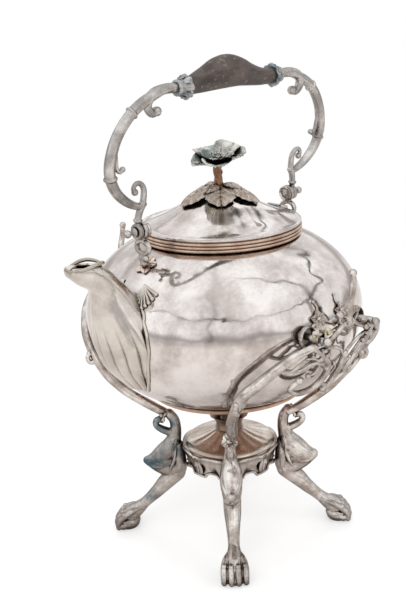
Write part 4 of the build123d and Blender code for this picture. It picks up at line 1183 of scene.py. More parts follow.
@dataclass
class BailMounts:
    """Pivot boss, open loop, beads and floral plate of each bail mount."""

    height: float = 273.0
    boss_x: float = 78.2
    boss_thick: float = 4.0
    boss_radius: float = 6.5
    loop_height: float = 260.6
    loop_radii: tuple[float, float] = (6.8, 4.9)
    pin_radius: float = 1.6
    leaf_x: float = 78.5
    cap_x: float = 86.8
    ball_x: float = 93.8

    def build(self, kettle: KettleBody) -> None:
        """Cast the mounts and pins of both ends.

        Args:
            kettle: The belly that they stand on.
        """
        for end in End:
            name, x = end.name.lower(), end.value
            mount = Mould(f"bail_mount_{name}")
            r, t = self.boss_radius, self.boss_thick
            turned(
                mount,
                [(self.pin_radius, 0), (r - 1.2, 0), (r, 0.8), (r, t - 0.8), (r - 1.2, t),
                 (r - 1.9, t - 0.5), (3.4, t - 0.5), (2.9, t), (self.pin_radius, t)],
                (x * self.boss_x, 0, self.height), (x, 0, 0),
            )
            middle = x * (self.boss_x + t / 2)
            wide, tall = self.loop_radii
            loop = [
                (middle, wide * math.sin(a), self.loop_height + tall * math.cos(a))
                for a in (*angles(16), 2 * math.pi)
            ]
            mount.tube(loop, 2.0, sides=14)
            mount.ball((middle, 0, self.loop_height + 5.6), 2.5, (1, 1.5, 0.9))
            for y in (-2.4, 2.4):
                mount.ball((middle, y, 252.2), 2.6)
            mount.tube([(middle, 0, 254), (middle, 0, 250.5), (middle, 0, 248.5)], [2.0, 2.6, 3.2])
            mount.cast(Body.KETTLE, [f"mount_loop_{name}"], MOUNT_PLATE, melt=0.4, soften=3)
            self.floral_plate(kettle, name, x)
            self.pin(name, x)

    def floral_plate(self, kettle: KettleBody, name: str, x: int) -> None:
        """Cast the spray of five leaves that lies on the shoulder.

        Args:
            kettle: The belly.
            name: Name of the end.
            x: Sign of X at that end.
        """
        plate = Mould(f"mount_plate_{name}")
        seat = Vector((x * self.leaf_x, 0, kettle.height_at(self.leaf_x)))
        for a in angles(5):
            spine = []
            for reach in (1.0, 3.5, 6.0, 8.4):
                px, py = seat.x + reach * math.cos(a) * 0.92, reach * math.sin(a)
                spine.append((px, py, kettle.height_at(math.hypot(px, py)) + 1.7))
            plate.leaf(spine, (x * 0.42, 0, 1), (1.6, 3.2, 3.4, 0.6), thick=1.6, cup=-0.15, veins=3)
        plate.ball((seat.x, 0, seat.z + 1.6), 3.2, (1, 1, 0.6))
        plate.cast(Body.KETTLE, [f"mount_leaf_{name}"], ROSE_PLATE)

    def pin(self, name: str, x: int) -> None:
        """Cast the pivot pin, with its dished head, cap and ball.

        Args:
            name: Name of the end.
            x: Sign of X at that end.
        """
        pin = Mould(f"pivot_pin_{name}")
        head = self.boss_x - 2.6
        cap, end = self.cap_x - head, self.ball_x - head

        def petalled(r: float, z: float, a: float) -> tuple[float, float]:
            """Outline of eight petals in the dished head."""
            return (r * (1 + 0.07 * math.cos(8 * a)) if 3 < r < 5.3 and z < 2 else r), z

        turned(
            pin,
            [(0, 0.3), (1.2, 0), (2.0, 0.9), (4.2, 1.3), (5.2, 0.3), (6.0, 0.6), (6.2, 1.4),
             (5.6, 2.5), (1.5, 2.6), (1.5, cap), (3.1, cap), (3.4, cap + 0.8),
             (2.2, cap + 1.6), (1.3, cap + 2.6), (1.3, end), (0, end)],
            (x * head, 0, self.height), (x, 0, 0), ripple=petalled,
        )
        pin.ball((x * self.ball_x, 0, self.height), 3.0)
        pin.cast(Body.KETTLE, [f"bail_pin_{name}"], MOUNT_PLATE)


@dataclass
class Trunnions:
    """Cups, studs and flowered sprigs that carry the kettle in its stand."""

    x: float = 28.0
    height: float = 201.0
    face: float = 106.4
    saddle: float = 121.8
    overhang: float = 7.0
    cup: Profile = (
        (2.5, -3), (3.8, -3), (3.8, 2), (6.8, 2), (7.7, 2.5), (8.0, 3.4), (8.0, 5.2), (7.6, 6.0),
        (7.0, 6.0), (6.7, 5.2), (6.4, 3.3), (2.5, 3.2),
    )
    sprig_x: float = 12.9
    sprig_height: float = 209.5
    sprig_reaches: Sequence[float] = (0.8, 2.6, 4.6, 6.4)
    sprig_widths: Sequence[float] = (1.0, 2.4, 2.6, 0.6)

    def build(self, kettle: KettleBody) -> None:
        """Cast cups, studs and sprigs.

        Args:
            kettle: The belly that they stand on.
        """
        cups, studs, sprigs = Mould("trunnion_cups"), Mould("trunnion_bolts"), Mould("trunnion_flowers")
        tail = self.saddle + self.overhang - self.face
        bolt = [(0, -3.5), (2.5, -3.5), (2.5, tail - 4), (1.9, tail - 2.8), (0, tail - 2)]

        def milled(r: float, z: float, a: float) -> tuple[float, float]:
            """Milled edge of the cup."""
            return (r + (0.25 * abs(math.cos(12 * a)) - 0.25) if r > 7.4 else r), z

        for side in Side:
            y = side.value
            for end in End:
                x = end.value * self.x
                seat = (x, y * self.face, self.height)
                turned(cups, self.cup, seat, (0, y, 0), 48, milled)
                turned(studs, bolt, seat, (0, y, 0))
                studs.ball((x, y * (self.saddle + self.overhang), self.height), 3.1)
                self.sprig(sprigs, kettle, end.value * self.sprig_x, y)
        cups.cast(Body.KETTLE, ["trunnion_flanges"], MOUNT_PLATE)
        studs.cast(Body.KETTLE, ["trunnion_studs"], MOUNT_PLATE)
        sprigs.cast(Body.KETTLE, ["trunnion_sprigs"], SPRIG_PLATE)

    def sprig(self, mould: Mould, kettle: KettleBody, x: float, y: int) -> None:
        """Add a flower with its stalk and leaves lying on the belly.

        Args:
            mould: Mould of all sprigs.
            kettle: The belly.
            x: The flower's place along X.
            y: Sign of Y.
        """
        high = self.sprig_height
        sign = math.copysign(1, x)
        for a in angles(5, 0.3):
            spine = [
                kettle.lying(x + reach * math.cos(a), high + reach * math.sin(a), 1.3 + 0.06 * reach, y)
                for reach in self.sprig_reaches
            ]
            facing = (x / kettle.belly[0], y, 0.2)
            mould.leaf(spine, facing, self.sprig_widths, thick=1.0, cup=0.2, veins=3, across=4)
        mould.ball(kettle.lying(x, high, 1.6, y), 1.9)
        for line, radii, tip in (
            (((0, 209, 0.6), (6, 205.5, 0.8), (10, 202.5, 0.9)), (1.5, 1.3, 1.2), 0),
            (((0, 213, 0.5), (-2.5, 217, 0.6), (-1.0, 221, 0.5)), (1.0, 0.8, 0.7), 1.3),
        ):
            path = [kettle.lying(x + sign * aside, z, lift, y) for aside, z, lift in line]
            mould.tube(path, radii, tip=tip)


# ---------------------------------------------------------------- lid and finial
@dataclass
class Lid:
    """Coned lid with its bead, bezel and hinge."""

    edge: float = 266.0
    cone: Path = (
        (12.0, 0, 288.0), (26.0, 0, 280.8), (38.0, 0, 274.6), (50.0, 0, 269.4), (59.4, 0, 266.0),
    )
    rim: Profile = (
        (60.6, 265.9), (62.2, 265.8), (63.1, 265.1), (63.2, 264.3), (62.9, 263.3), (62.4, 262.8),
        (56.4, 262.8), (49.5, 267.9), (38.0, 273.1), (26.0, 279.3), (12.0, 286.4), (1.7, 287.4),
    )
    dent_depth: float = 0.2

    def build(self) -> None:
        """Cast the lid and dress bezel and hinge."""
        lid = Mould("lid_cone")
        cone = [(r, z) for r, _, z in flow(self.cone, 1.5)]
        lid.lathe([(1.7, 289.0), (6.0, 288.8), *cone, *self.rim], 180, self.dented)
        lid.cast(Body.LID, ["lid_shell"], BODY_PLATE)
        dress_nodes(BODY_PLATE, "lid_bezel")
        dress_nodes(MOUNT_PLATE, "lid_hinge_leaf", "body_hinge_leaf")
        dress_nodes(PIN_METAL, "hinge_pin")

    def dented(self, r: float, z: float, a: float) -> tuple[float, float]:
        """Lid's surface with faint dents between finial and bead.

        Args:
            r: Radius.
            z: Height of the true form.
            a: Angle.

        Returns:
            Radius and height of the dented form.
        """
        if not 20 < r < 57 or z < self.edge:
            return r, z
        return r, z - self.dent_depth * (0.5 + 0.5 * noise.noise(Vector(polar(r, a)) / 17))


@dataclass
class Finial:
    """Five veined leaves, a twisted stem and an open flower."""

    seat: float = 289.0
    leaf_reach: float = 33.0
    leaves: int = 5
    cone_slope: float = (289.0 - 273.8) / (46.0 - 12.0)
    flower_height: float = 310.6
    flower_radius: float = 23.0
    tilt: float = 14.0
    petal_rises: tuple[float, ...] = (8.6, 5.4, 2.8, 6.6, 8.8)
    petal_line: Path = (
        (0.05, 0.12, 0), (0.3, 0.25, 0.3), (0.58, 0.6, 0), (0.82, 0.95, -0.5), (0.97, 1.1, -0.9),
    )

    def build(self) -> None:
        """Cast leaves, stem, flower and nut."""
        self.build_leaves()
        stem = Mould("flower_stem")
        stem.tube(
            [(0, 0, 291.0), (-0.6, -0.6, 293.5), (-1.6, -1.6, 297.3), (-0.6, 0.4, 304.0), (0, 0, 311.6)],
            [5.0, 4.2, 3.2, 2.9, 4.0], sides=30, flutes=5, flute_depth=0.13, twist=0.55, step=0.8,
        )
        stem.tube([(-1.6, -1.0, 296), (1.8, 1.2, 299), (2.2, -1.4, 303), (-1.2, -2.2, 307)],
                  [0.6, 1.1, 1.1, 0.6])
        turned(stem, [(0, 0), (1.5, 0), (1.5, 8.6), (4.2, 8.6), (4.3, 10), (0, 10.4)],
               (0, 0, 282), (0, 0, 1))
        stem.cast(Body.LID, ["finial_stem"], COPPER_STEM)
        self.build_flower()

    def build_leaves(self) -> None:
        """Cast the leaves that lie on the lid's cone."""
        leaves = Mould("lid_leaves")
        for k in range(self.leaves):
            a = math.radians(12 + k * 360 / self.leaves)
            reach = self.leaf_reach * (1.0 if k % 2 == 0 else 0.87)
            spine = []
            for share, lift in ((0.05, 3.2), (0.3, 4.0), (0.55, 4.6), (0.8, 3.7), (0.97, 1.2)):
                r = reach * share
                drop = max(r - 12.0, 0) * self.cone_slope
                spine.append(polar(r, a, self.seat - drop + lift - 0.3))
            leaves.leaf(
                spine, (0.3 * math.cos(a), 0.3 * math.sin(a), 1),
                (2.5, 8.6, 12.2, 10.5, 3.0), thick=1.3, cup=-0.3, veins=6, vein_depth=0.7,
                teeth=0.1, across=12,
            )
        for k in range(3):
            a = math.radians(70 + k * 120)
            heights = ((1.5, 293.6), (7.5, 295.2), (13.0, 294.2), (18.5, 290.6))
            spine = [polar(r, a, z) for r, z in heights]
            leaves.leaf(spine, (0, 0, 1), (2.0, 6.4, 7.4, 2.0), thick=1.2, cup=-0.35, veins=4,
                        vein_depth=0.6, teeth=0.1, across=10)
        leaves.tube([(0, 0, 287.5), (0, 0, 290.6)], [6.5, 5.0])
        leaves.cast(Body.LID, ["finial_leaves"], LEAF_PLATE)

    def build_flower(self) -> None:
        """Cast the petals and the nut at their middle."""
        flower = Mould("open_flower")
        lean = math.sin(math.radians(self.tilt)) * 0.7
        move = placed((0, 0, self.flower_height), (-lean, -lean, 1))
        part = Mould("petals")
        for k, rise in enumerate(self.petal_rises):
            a = math.radians(k * 72 + 8)
            out = Vector(polar(1, a))
            side = Vector((-math.sin(a), math.cos(a), 0))
            reach = self.flower_radius * (0.97 if k % 2 else 0.92)
            spine = [
                out * (reach * share) + side * (bend * 1.5) + Vector((0, 0, rise * up))
                for share, up, bend in self.petal_line
            ]
            part.leaf(
                spine, (0, 0, 1), (2.6, 7.6, 11.6, 11.6, 5.6), thick=0.9, cup=0.4, veins=9,
                vein_depth=0.5, teeth=0.07, curl=3.0, across=12,
            )
        for k in range(4):
            out = Vector(polar(1, math.radians(k * 90 + 30)))
            line = ((1.0, 1.2), (5.5, 2.6), (9.5, 5.4), (12.0, 8.6))
            spine = [out * reach + Vector((0, 0, up)) for reach, up in line]
            part.leaf(
                spine, (0, 0, 1), (2.0, 5.6, 7.4, 3.6), thick=0.8, cup=0.35, veins=6,
                vein_depth=0.4, teeth=0.06, curl=1.4, across=9,
            )
        turned(part, [(0, 0.2), (5.5, 0.8), (7.0, 2.0), (5.0, 2.6), (0, 2.4)], (0, 0, 0), (0, 0, 1))
        flower.copy_from(part, move)
        flower.cast(Body.LID, ["finial_flower"], PETAL_TARNISH)
        heart, part = Mould("flower_heart"), Mould("stamens")
        part.ball((0, 0, 2.4), 3.0, (1, 1, 0.9))
        for a in angles(10):
            line = [polar(r, a, z) for r, z in ((1.5, 2.6), (2.8, 4.6), (3.6, 6.0))]
            part.tube(line, 0.45, tip=0.8, sides=8)
        heart.copy_from(part, move)
        heart.cast(Body.LID, ["finial_nut"], PETAL_TARNISH)


# ---------------------------------------------------------------- bail
@dataclass
class Bail:
    """Swinging handle: scrolled arms, leafed collars and a wooden grip."""

    pivot: float = 273.0
    lean: float = 9.5
    grip_height: float = 101.0
    grip_end: float = 44.0
    eye_x: float = 82.5
    neck: Path = ((84.5, 4.5, 2.1), (84.6, 9, 2.4), (83.4, 14.5, 2.6), (81.0, 20.6, 2.6))
    sweep: Path = (
        (79.4, 20.2, 2.2), (86, 19.6, 2.7), (96, 24.5, 3.3), (105, 32.5, 3.7), (110.5, 42, 3.9),
        (112.3, 51, 4.0), (111.3, 60, 4.0), (108.3, 70, 3.9), (103, 79, 3.9), (95, 87.5, 3.8),
        (86, 93.5, 3.8), (77, 98, 3.4),
    )
    low_scroll: Path = (
        (81.4, 17.6, 2.3), (80.2, 24.6, 2.4), (80.6, 32, 2.2), (84, 36.3, 2.0), (88, 36.6, 1.8),
        (90.2, 33.4, 1.7), (88.6, 30.6, 1.7),
    )
    tendril: Path = (
        (107.5, 66, 1.2), (107, 58, 1.5), (106, 50.5, 1.6), (103, 47.5, 1.5), (100.8, 49.3, 1.5)
    )
    top_scroll: Path = (
        (51.0, 101.3, 3.2), (64.0, 101.6, 3.7), (72.0, 100.2, 4.0), (78.6, 96.6, 3.6),
        (80.4, 91.0, 3.3), (76.6, 85.8, 3.1), (71.6, 86.6, 2.9),
    )
    grip: Path = (
        (-44.0, 101.0, 6.0, 6.0), (-30.0, 104.4, 9.1, 7.0), (-18.0, 107.5, 11.8, 8.0),
        (-4.0, 108.6, 12.4, 8.4), (10.0, 106.9, 10.6, 7.8), (22.0, 103.6, 8.3, 7.0),
        (34.0, 101.2, 6.6, 6.3), (44.0, 101.0, 6.0, 6.0),
    )

    def at(self, x: float, h: float) -> Triple:
        """Point of the leaning bail.

        Args:
            x: Its place along X.
            h: Its height up the bail from the pivot.

        Returns:
            The point.
        """
        lean = math.radians(self.lean)
        return (x, -h * math.sin(lean), self.pivot + h * math.cos(lean))

    def build(self) -> None:
        """Cast arms, collars and grip of the bail."""
        for end in End:
            self.build_arm(end)
            self.build_collar(end)
        self.build_grip()
        dress_nodes(PIN_METAL, "grip_rod")

    def build_arm(self, end: End) -> None:
        """Cast one arm from its eye to the collar.

        Args:
            end: The arm's end of the kettle.
        """
        name, x = end.name.lower(), end.value
        arm = Mould(f"scrolled_arm_{name}")
        for line, make in (
            (self.neck, {"sides": 18}),
            (self.sweep, {"sides": 30, "flutes": 5, "flute_depth": 0.06, "twist": 0.25}),
            (self.low_scroll, {"tip": 2.6}),
            (self.tendril, {"tip": 2.2}),
            (self.top_scroll, {"tip": 3.6, "sides": 24, "flutes": 4, "flute_depth": 0.05, "twist": 0.6}),
        ):
            arm.tube([self.at(x * px, ph) for px, ph, _ in line], [p[2] for p in line], **make)
        for (px, ph), (dx, dh), reach in (
            ((94.4, 88), (-9, 6), 3.8), ((111.2, 44), (2, 9), 4.0), ((84.6, 8.6), (0, 1), 2.3)
        ):
            middle = Vector(self.at(x * px, ph))
            axis = Vector(self.at(x * (px + dx), ph + dh)) - middle
            half = [(0, 1.4), (reach, 1.4), (reach + 1.1, 0.5)]
            turned(arm, [(r, -z) for r, z in half] + half[::-1], middle, axis)
        eye = [(1.55, 0), (5.2, 0), (6.0, 0.8), (6.0, 3.2), (5.2, 4), (4.0, 4), (3.6, 3.5), (1.55, 3.5)]
        turned(arm, eye, (x * self.eye_x, 0, self.pivot), (x, 0, 0))
        leaf = [self.at(x * px, ph) for px, ph in ((79, 99.6), (86, 96.6), (93, 92.6), (99.5, 87.4))]
        widths = (1.5, 3.3, 3.0, 0.5)
        arm.leaf(leaf, (x * 0.6, -0.2, 0.9), widths, thick=1.2, cup=-0.5, veins=3, across=5)
        arm.cast(Body.BAIL, [f"bail_arm_{name}"], BAIL_PLATE, melt=0.42, soften=2)

    def build_collar(self, end: End) -> None:
        """Cast the collar of leaves that closes one end of the grip.

        Args:
            end: The collar's end of the kettle.
        """
        name, x = end.name.lower(), end.value
        collar = Mould(f"leafed_collar_{name}")
        seat = Vector(self.at(x * self.grip_end, self.grip_height))

        def scalloped(r: float, z: float, a: float) -> tuple[float, float]:
            """Outline of eight leaves around the collar."""
            return (r * (1 + 0.07 * math.cos(8 * a)) if r > 6.4 else r), z

        turned(
            collar,
            [(2.1, 0.1), (8.0, 0.1), (8.7, 0.9), (8.6, 2.6), (7.3, 3.4), (6.5, 4.4), (5.6, 7.0),
             (5.2, 8.2), (6.0, 9.0), (5.9, 10.0), (4.8, 10.9), (2.1, 10.9)],
            seat, (x, 0, 0), 72, scalloped,
        )
        for a in angles(8):
            out = Vector((0, math.cos(a), math.sin(a)))
            line = ((7.6, 0.5), (8.3, 2.6), (6.9, 5.0), (6.0, 7.2))
            spine = [seat + out * r + Vector((x * d, 0, 0)) for r, d in line]
            collar.leaf(spine, out, (1.6, 2.5, 1.9, 0.4), thick=0.9, cup=-0.2, veins=2, across=4)
            between = Vector((0, math.cos(a + 0.39), math.sin(a + 0.39)))
            collar.ball(seat + Vector((x * 2.4, 0, 0)) + between * 7.9, 1.1)
        collar.cast(Body.BAIL, [f"collar_{name}"], COLLAR_PLATE)

    def build_grip(self) -> None:
        """Cast the humped wooden grip."""
        grip = Mould("humped_grip")
        lean = math.radians(self.lean)
        rings = []
        for x, h, tall, wide in flow(self.grip, 1.2):
            ring = []
            for a in angles(48):
                uneven = 1 - 0.02 * (0.5 + 0.5 * noise.noise(Vector((x / 9, math.cos(a), math.sin(a)))))
                up, side = tall * uneven * math.sin(a), wide * uneven * math.cos(a)
                y = side * math.cos(lean) - up * math.sin(lean)
                z = side * math.sin(lean) + up * math.cos(lean)
                ring.append(Vector(self.at(x, h)) + Vector((0, y, z)))
            rings.append(ring)
        grip.skin(rings)
        grip.cast(Body.BAIL, ["grip"], GRIP_WOOD)


# ---------------------------------------------------------------- stand
@dataclass
class Stand:
    """Four lion-pawed legs about a burner ring, with the arms and brackets that carry the kettle."""

    saddle_y: float = 121.8
    trunnion_x: float = 28.0
    trunnion_height: float = 201.0
    keeper: Triple = (-35.5, 204.9, -19.05)
    fork_bore: float = 2.56
    fork_rim: float = 4.9
    fork_thick: float = 5.0
    prongs: tuple[float, float] = (6.6, 1.2)
    toe_gap: float = 5.5
    drop_angle: float = 20.0
    drop_half: float = 10.0
    drop_rise: float = 4.2
    cap_middle: Triple = (38.2, 38.2, 101.0)
    kettle: KettleBody = field(default_factory=KettleBody)
    arm_line: Path = (
        (33.5, 36.5, 101.5), (42, 46, 108.6), (56, 59.5, 122), (63, 66, 131), (67.5, 71.5, 139),
        (70.5, 79, 151), (71, 87, 163), (66.5, 96.5, 172.5), (57, 107, 184), (46, 114.5, 192),
        (36, 119.3, 196), (29, 121.8, 197.5),
    )
    arm_radii: Sequence[float] = (3.2, 3.9, 4.1, 4.0, 3.9, 3.9, 3.9, 3.8, 3.6, 3.3, 3.0, 2.8)
    paired_scrolls: tuple[Scroll, ...] = (
        (((-24, -3.5), (-14, 0.5), (-6, 5.5), (2, 11), (9, 14)), (2.0, 2.1, 2.1, 2.0, 1.8), 2.4, 0.4),
        (((0, -20), (6, -13), (14, -9), (25, -7.5)), (2.0, 1.8, 1.8, 1.8), 0, 0.0),
        (((-32, -6), (-23, -14), (-15, -23), (-12, -35), (-18, -44), (-30, -45), (-39.5, -38.5),
          (-36, -31)), (2.2, 2.4, 2.5, 2.5, 2.4, 2.3, 2.1, 1.8), 2.6, 0.4),
        (((-56, -17), (-46, -22), (-38, -21.5), (-30, -18), (-23, -19.5), (-16, -25.5)),
         (2.4, 2.2, 2.1, 2.0, 1.9, 1.8), 0, -0.4),
        (((-38, -12), (-30, -14), (-25, -20), (-26, -27), (-31, -28)), (1.4, 1.5, 1.5, 1.3, 1.2), 1.8, 0.8),
        (((-12, -37), (-7, -33), (-6, -27), (-9, -24)), (1.2, 1.3, 1.2, 1.1), 1.6, 0.6),
        (((-6, 6), (-10, 10), (-9, 14), (-5.5, 14.5)), (1.3, 1.4, 1.3, 1.2), 1.7, 0.8),
    )
    middle_scrolls: tuple[Scroll, ...] = (
        (((0, -18), (0, -29), (0, -41), (0, -51)), (2.5, 2.6, 2.4, 2.0), 2.9, 0.9),
        (((-13, -40), (-6, -44), (0, -45.5), (6, -44), (13, -40)), (1.6, 1.7, 1.8, 1.7, 1.6), 0, 1.3),
        (((0, 5), (0, 10), (0, 15)), (2.7, 2.7, 2.7), 3.3, 0.5),
    )

    def build(self) -> None:
        """Cast ring, legs, arms, brackets, horns and keeper pins."""
        self.build_ring()
        leg, paw = self.leg(), self.paw()
        for end in End:
            for side in Side:
                name = f"{end.name.lower()}_{side.name.lower()}"
                turn = QUARTER_TURNS[end, side]
                haunch, foot = Mould(f"haunch_{name}"), Mould(f"lion_paw_{name}")
                haunch.copy_from(leg, lambda p: spin(p, turn))
                foot.copy_from(paw, lambda p: spin(p, turn))
                finish = BLUED_LEG if (end, side) == (End.FRONT, Side.RIGHT) else STAND_PLATE
                haunch.cast(Body.STAND, [f"leg_{name}"], finish, melt=0.5, soften=2)
                foot.cast(Body.STAND, [], PAW_PLATE, melt=0.4, soften=1)
                self.build_arm(end, side, name)
        for side in Side:
            self.build_bracket(side)
            self.build_horn(side)
            self.build_keeper(side)
        self.build_caps()

    def build_ring(self) -> None:
        """Cast the ring that holds the burner, with its scalloped apron."""
        ring = Mould("scalloped_ring")
        profile = [
            (36.95, 76.5), (38.4, 76.5), (39.6, 76.1), (40.25, 75.0), (39.9, 73.9), (39.2, 73.3),
            (38.9, 72.2), (38.1, 70.0), (37.0, 66.6), (36.1, 62.6), (35.9, 59.6), (36.1, 58.2),
            (35.3, 57.0), (33.4, 57.0), (33.8, 60.0), (34.2, 64.0), (35.4, 69.0), (36.6, 72.8),
            (36.95, 74.0),
        ]

        def arch(swing: float) -> float:
            """Rise of the apron's foot at an angle in degrees from the middle of a quarter."""
            off = (abs(swing) - self.drop_angle) / self.drop_half
            return self.drop_rise * math.sqrt(1 - off * off) if abs(off) < 1 else 0.0

        def scalloped(r: float, z: float, a: float) -> tuple[float, float]:
            """Apron whose foot rises between drops, with leaf ribs in its face.

            Args:
                r: Radius of the plain ring.
                z: Height.
                a: Angle.

            Returns:
                Radius and height of the apron.
            """
            swing = (math.degrees(a) + 45) % 90 - 45
            rib = 0.45 * math.cos(math.radians(swing) * 24) * ease((72.5 - z) / 4) * ease((z - 57) / 3)
            face = rib if r > 35.5 else 0.0
            return r + face - (0.2 if r > 35.5 else 0.0), z + arch(swing) * ease((70.0 - z) / 12.0)

        ring.lathe(profile, 240, scalloped)
        for k in range(4):
            out = Vector(polar(1, math.radians(90 * k)))
            line = ((38.6, 71), (38.2, 66), (37.2, 61), (36.2, 57.4))
            spine = [out * r + Vector((0, 0, z)) for r, z in line]
            ring.leaf(spine, out, (2.5, 4.6, 3.8, 0.6), thick=1.0, cup=-0.15, veins=4, vein_depth=0.4)
        for k in range(4):
            for way in (-1, 1):
                rail = []
                for swing, lift in ((40, -1.4), (32, 0.0), (22, 0.6), (12, 0.3), (5, -0.8)):
                    rail.append(polar(39.0, math.radians(90 * k + way * swing), 75.6 + lift))
                ring.tube(rail, [1.2, 1.7, 1.8, 1.6, 0.9], tip=1.5, sides=12)
            turns = range(-40, 41, 2)
            bead = [polar(36.5, math.radians(90 * k + swing), 58.6 + arch(swing)) for swing in turns]
            ring.tube(bead, 0.9, sides=8)
        ring.cast(Body.STAND, ["burner_ring"], STAND_PLATE)

    def leg(self) -> Mould:
        """Leg with a haunch and a shin.

        Returns:
            The leg's mould, its outward direction along X.
        """
        leg = Mould("leg")
        for points, radii, flat in (
            ([(49.5, 0, 103), (45.5, 0, 97), (44.8, 0, 88), (47.0, 0, 79)], [4.2, 4.4, 4.8, 6.4], 1.0),
            ([(46.5, 0, 82), (50, 0, 73), (56, 0, 66.5), (63, 0, 62.5), (69.5, 0, 61.2)],
             [5.8, 9.4, 9.8, 7.8, 4.4], 0.84),
            ([(68.5, 0, 60.6), (62, 0, 57.0), (55, 0, 54.0), (48, 0, 51.5)], [4.8, 6.6, 7.8, 8.0], 0.9),
            ([(43.8, 0, 73), (43.4, 0, 63), (43.2, 0, 54), (45, 0, 48)], [5.6, 6.0, 6.2, 5.4], 1.0),
            ([(46, 0, 49), (55, 0, 41), (64, 0, 31.5), (72, 0, 24), (79, 0, 18)],
             [7.8, 7.4, 5.9, 4.9, 5.0], 0.92),
            ([(49, 0, 86), (56, 0, 89.0), (60.8, 0, 93.0), (60.6, 0, 97.6), (57.4, 0, 98.6)],
             [3.6, 3.2, 2.7, 2.3, 2.1], 1.0),
        ):
            leg.tube(points, radii, flat=flat, sides=20)
        leg.ball((57.4, 0, 98.2), 3.1)
        leg.ball((56.5, 0, 61.5), 9.6, (1.2, 0.84, 0.9))
        for side in (-1, 1):
            for line, tip in (
                (((46, 5.4, 82, 0.7), (51, 7.0, 73.5, 1.2), (58, 7.2, 67.8, 1.3), (65, 5.2, 63.6, 1.2),
                  (68.6, 3.4, 60.4, 1.2), (65, 5.0, 57.2, 1.2), (58.5, 6.6, 57.4, 1.2),
                  (56.0, 7.0, 61.0, 1.1), (59.0, 7.1, 63.4, 1.0)), 1.6),
                (((45, 5.8, 74, 0.7), (46.6, 6.8, 66, 1.3), (49.4, 7.2, 58.5, 1.4),
                  (52.5, 6.8, 52.5, 0.7)), 0),
            ):
                path = [(x, side * y, z) for x, y, z, _ in line]
                leg.tube(path, [p[3] for p in line], tip=tip, sides=10)
        return leg

    def paw(self) -> Mould:
        """Lion's paw with four toes.

        Returns:
            The paw's mould, its outward direction along X.
        """
        paw = Mould("paw")
        ankle = [(75.5, 0, 21), (80.5, 0, 16.6), (86, 0, 12.6), (90, 0, 9.0)]
        paw.tube(ankle, [4.7, 6.0, 7.2, 7.2], sides=20)
        for k in range(4):
            y = (k - 1.5) * self.toe_gap
            far = 1.3 if k in (1, 2) else 0.0
            paw.tube(
                [(80.5, y * 0.55, 18.0), (86, y * 0.82, 16.4), (91.5 + far, y, 13.4),
                 (96 + far, y * 1.02, 9.6), (97.9 + far, y * 1.03, 5.6), (97.6 + far, y * 1.03, 3.0)],
                [1.8, 2.4, 2.6, 2.7, 2.45, 2.1], sides=14, tip=2.4,
            )
            paw.ball((92.4 + far, y, 14.0), 2.7, (1.1, 0.92, 0.95))
            paw.ball((93.6 + far, y, 3.6), 2.95, (1.2, 0.92, 1.0))
        paw.ball((88.6, 0, 6.2), 9.2, (1.0, 1.08, 0.6))
        pad = [(0, 0), (7.4, 0), (8.0, 0.4), (9.4, 2.2), (10.2, 4.6), (9.0, 8.0), (6, 10), (0, 11)]
        turned(paw, pad, (90, 0, 0), (0, 0, 1))
        return paw

    def build_arm(self, end: End, side: Side, name: str) -> None:
        """Cast one arm with its saddle and curl.

        Args:
            end: Its end of the kettle.
            side: Its side.
            name: Name of its quarter.
        """
        arm, part = Mould(f"vine_arm_{name}"), Mould("arm")
        part.tube(self.arm_line, self.arm_radii, sides=24, flutes=4, flute_depth=0.06, twist=0.4)
        curl = [(70.5, 79, 151), (74.5, 83, 149), (76.6, 84, 153), (74.8, 83.5, 156.6)]
        part.tube(curl, [2.6, 2.2, 1.9, 1.7], tip=2.4)
        vine = [(60, 62, 124), (63, 66.5, 133), (65, 72, 142), (67, 79, 153)]
        part.tube(vine, [1.2, 1.9, 1.9, 1.2], sides=10)
        spine = [(66, 72, 141), (70.5, 80.5, 150), (72, 88.5, 160), (70, 94, 168)]
        widths = (1.2, 2.8, 2.6, 0.6)
        part.leaf(spine, (0.75, 0.62, -0.3), widths, thick=1.4, cup=-0.2, veins=4)
        x, y, z = self.trunnion_x, self.saddle_y - self.fork_thick / 2, self.trunnion_height
        fork = self.fork(self.prongs[0] if end is End.FRONT else self.prongs[1])
        part.plate([Vector((x + px, y, z + pz)) for px, pz in fork], Vector((0, self.fork_thick, 0)))
        arm.copy_from(part, *mirror(end.value, side.value))
        arm.cast(Body.STAND, [f"arm_{name}"], STAND_PLATE)

    def fork(self, rise: float) -> list[tuple[float, float]]:
        """Outline of the open saddle about a trunnion.

        Args:
            rise: Height of its prongs above the trunnion's middle.

        Returns:
            The points as offsets along X and Z.
        """
        bore, rim = self.fork_bore, self.fork_rim
        inside = [polar(bore, math.pi + math.pi * k / 14)[:2] for k in range(1, 14)]
        outside = [polar(rim, -math.pi * k / 20)[:2] for k in range(1, 20)]
        return [
            (-bore, rise), (-bore, 0), *inside, (bore, 0), (bore, rise),
            (bore + 0.8, rise + 0.5), (rim, rise - 0.4), (rim, 0), *outside,
            (-rim, 0), (-rim, rise - 0.4), (-bore - 0.8, rise + 0.5),
        ]

    def cradle(self, x: float, rise: float, depth: float = 0.0) -> Triple:
        """Point on the curved surface of the brackets, on the left.

        Args:
            x: Its place along X.
            rise: Its height above the trunnions.
            depth: How far it stands off the surface.

        Returns:
            The point.
        """
        z = self.trunnion_height + rise
        share = min(max((z - 166.0) / 30, 0.0), 1.0)
        r = self.kettle.radius_at(max(min(z, 196.0), 138.0)) + 10.0 + 5.0 * share + depth
        return (x, -math.sqrt(r * r - x * x), z)

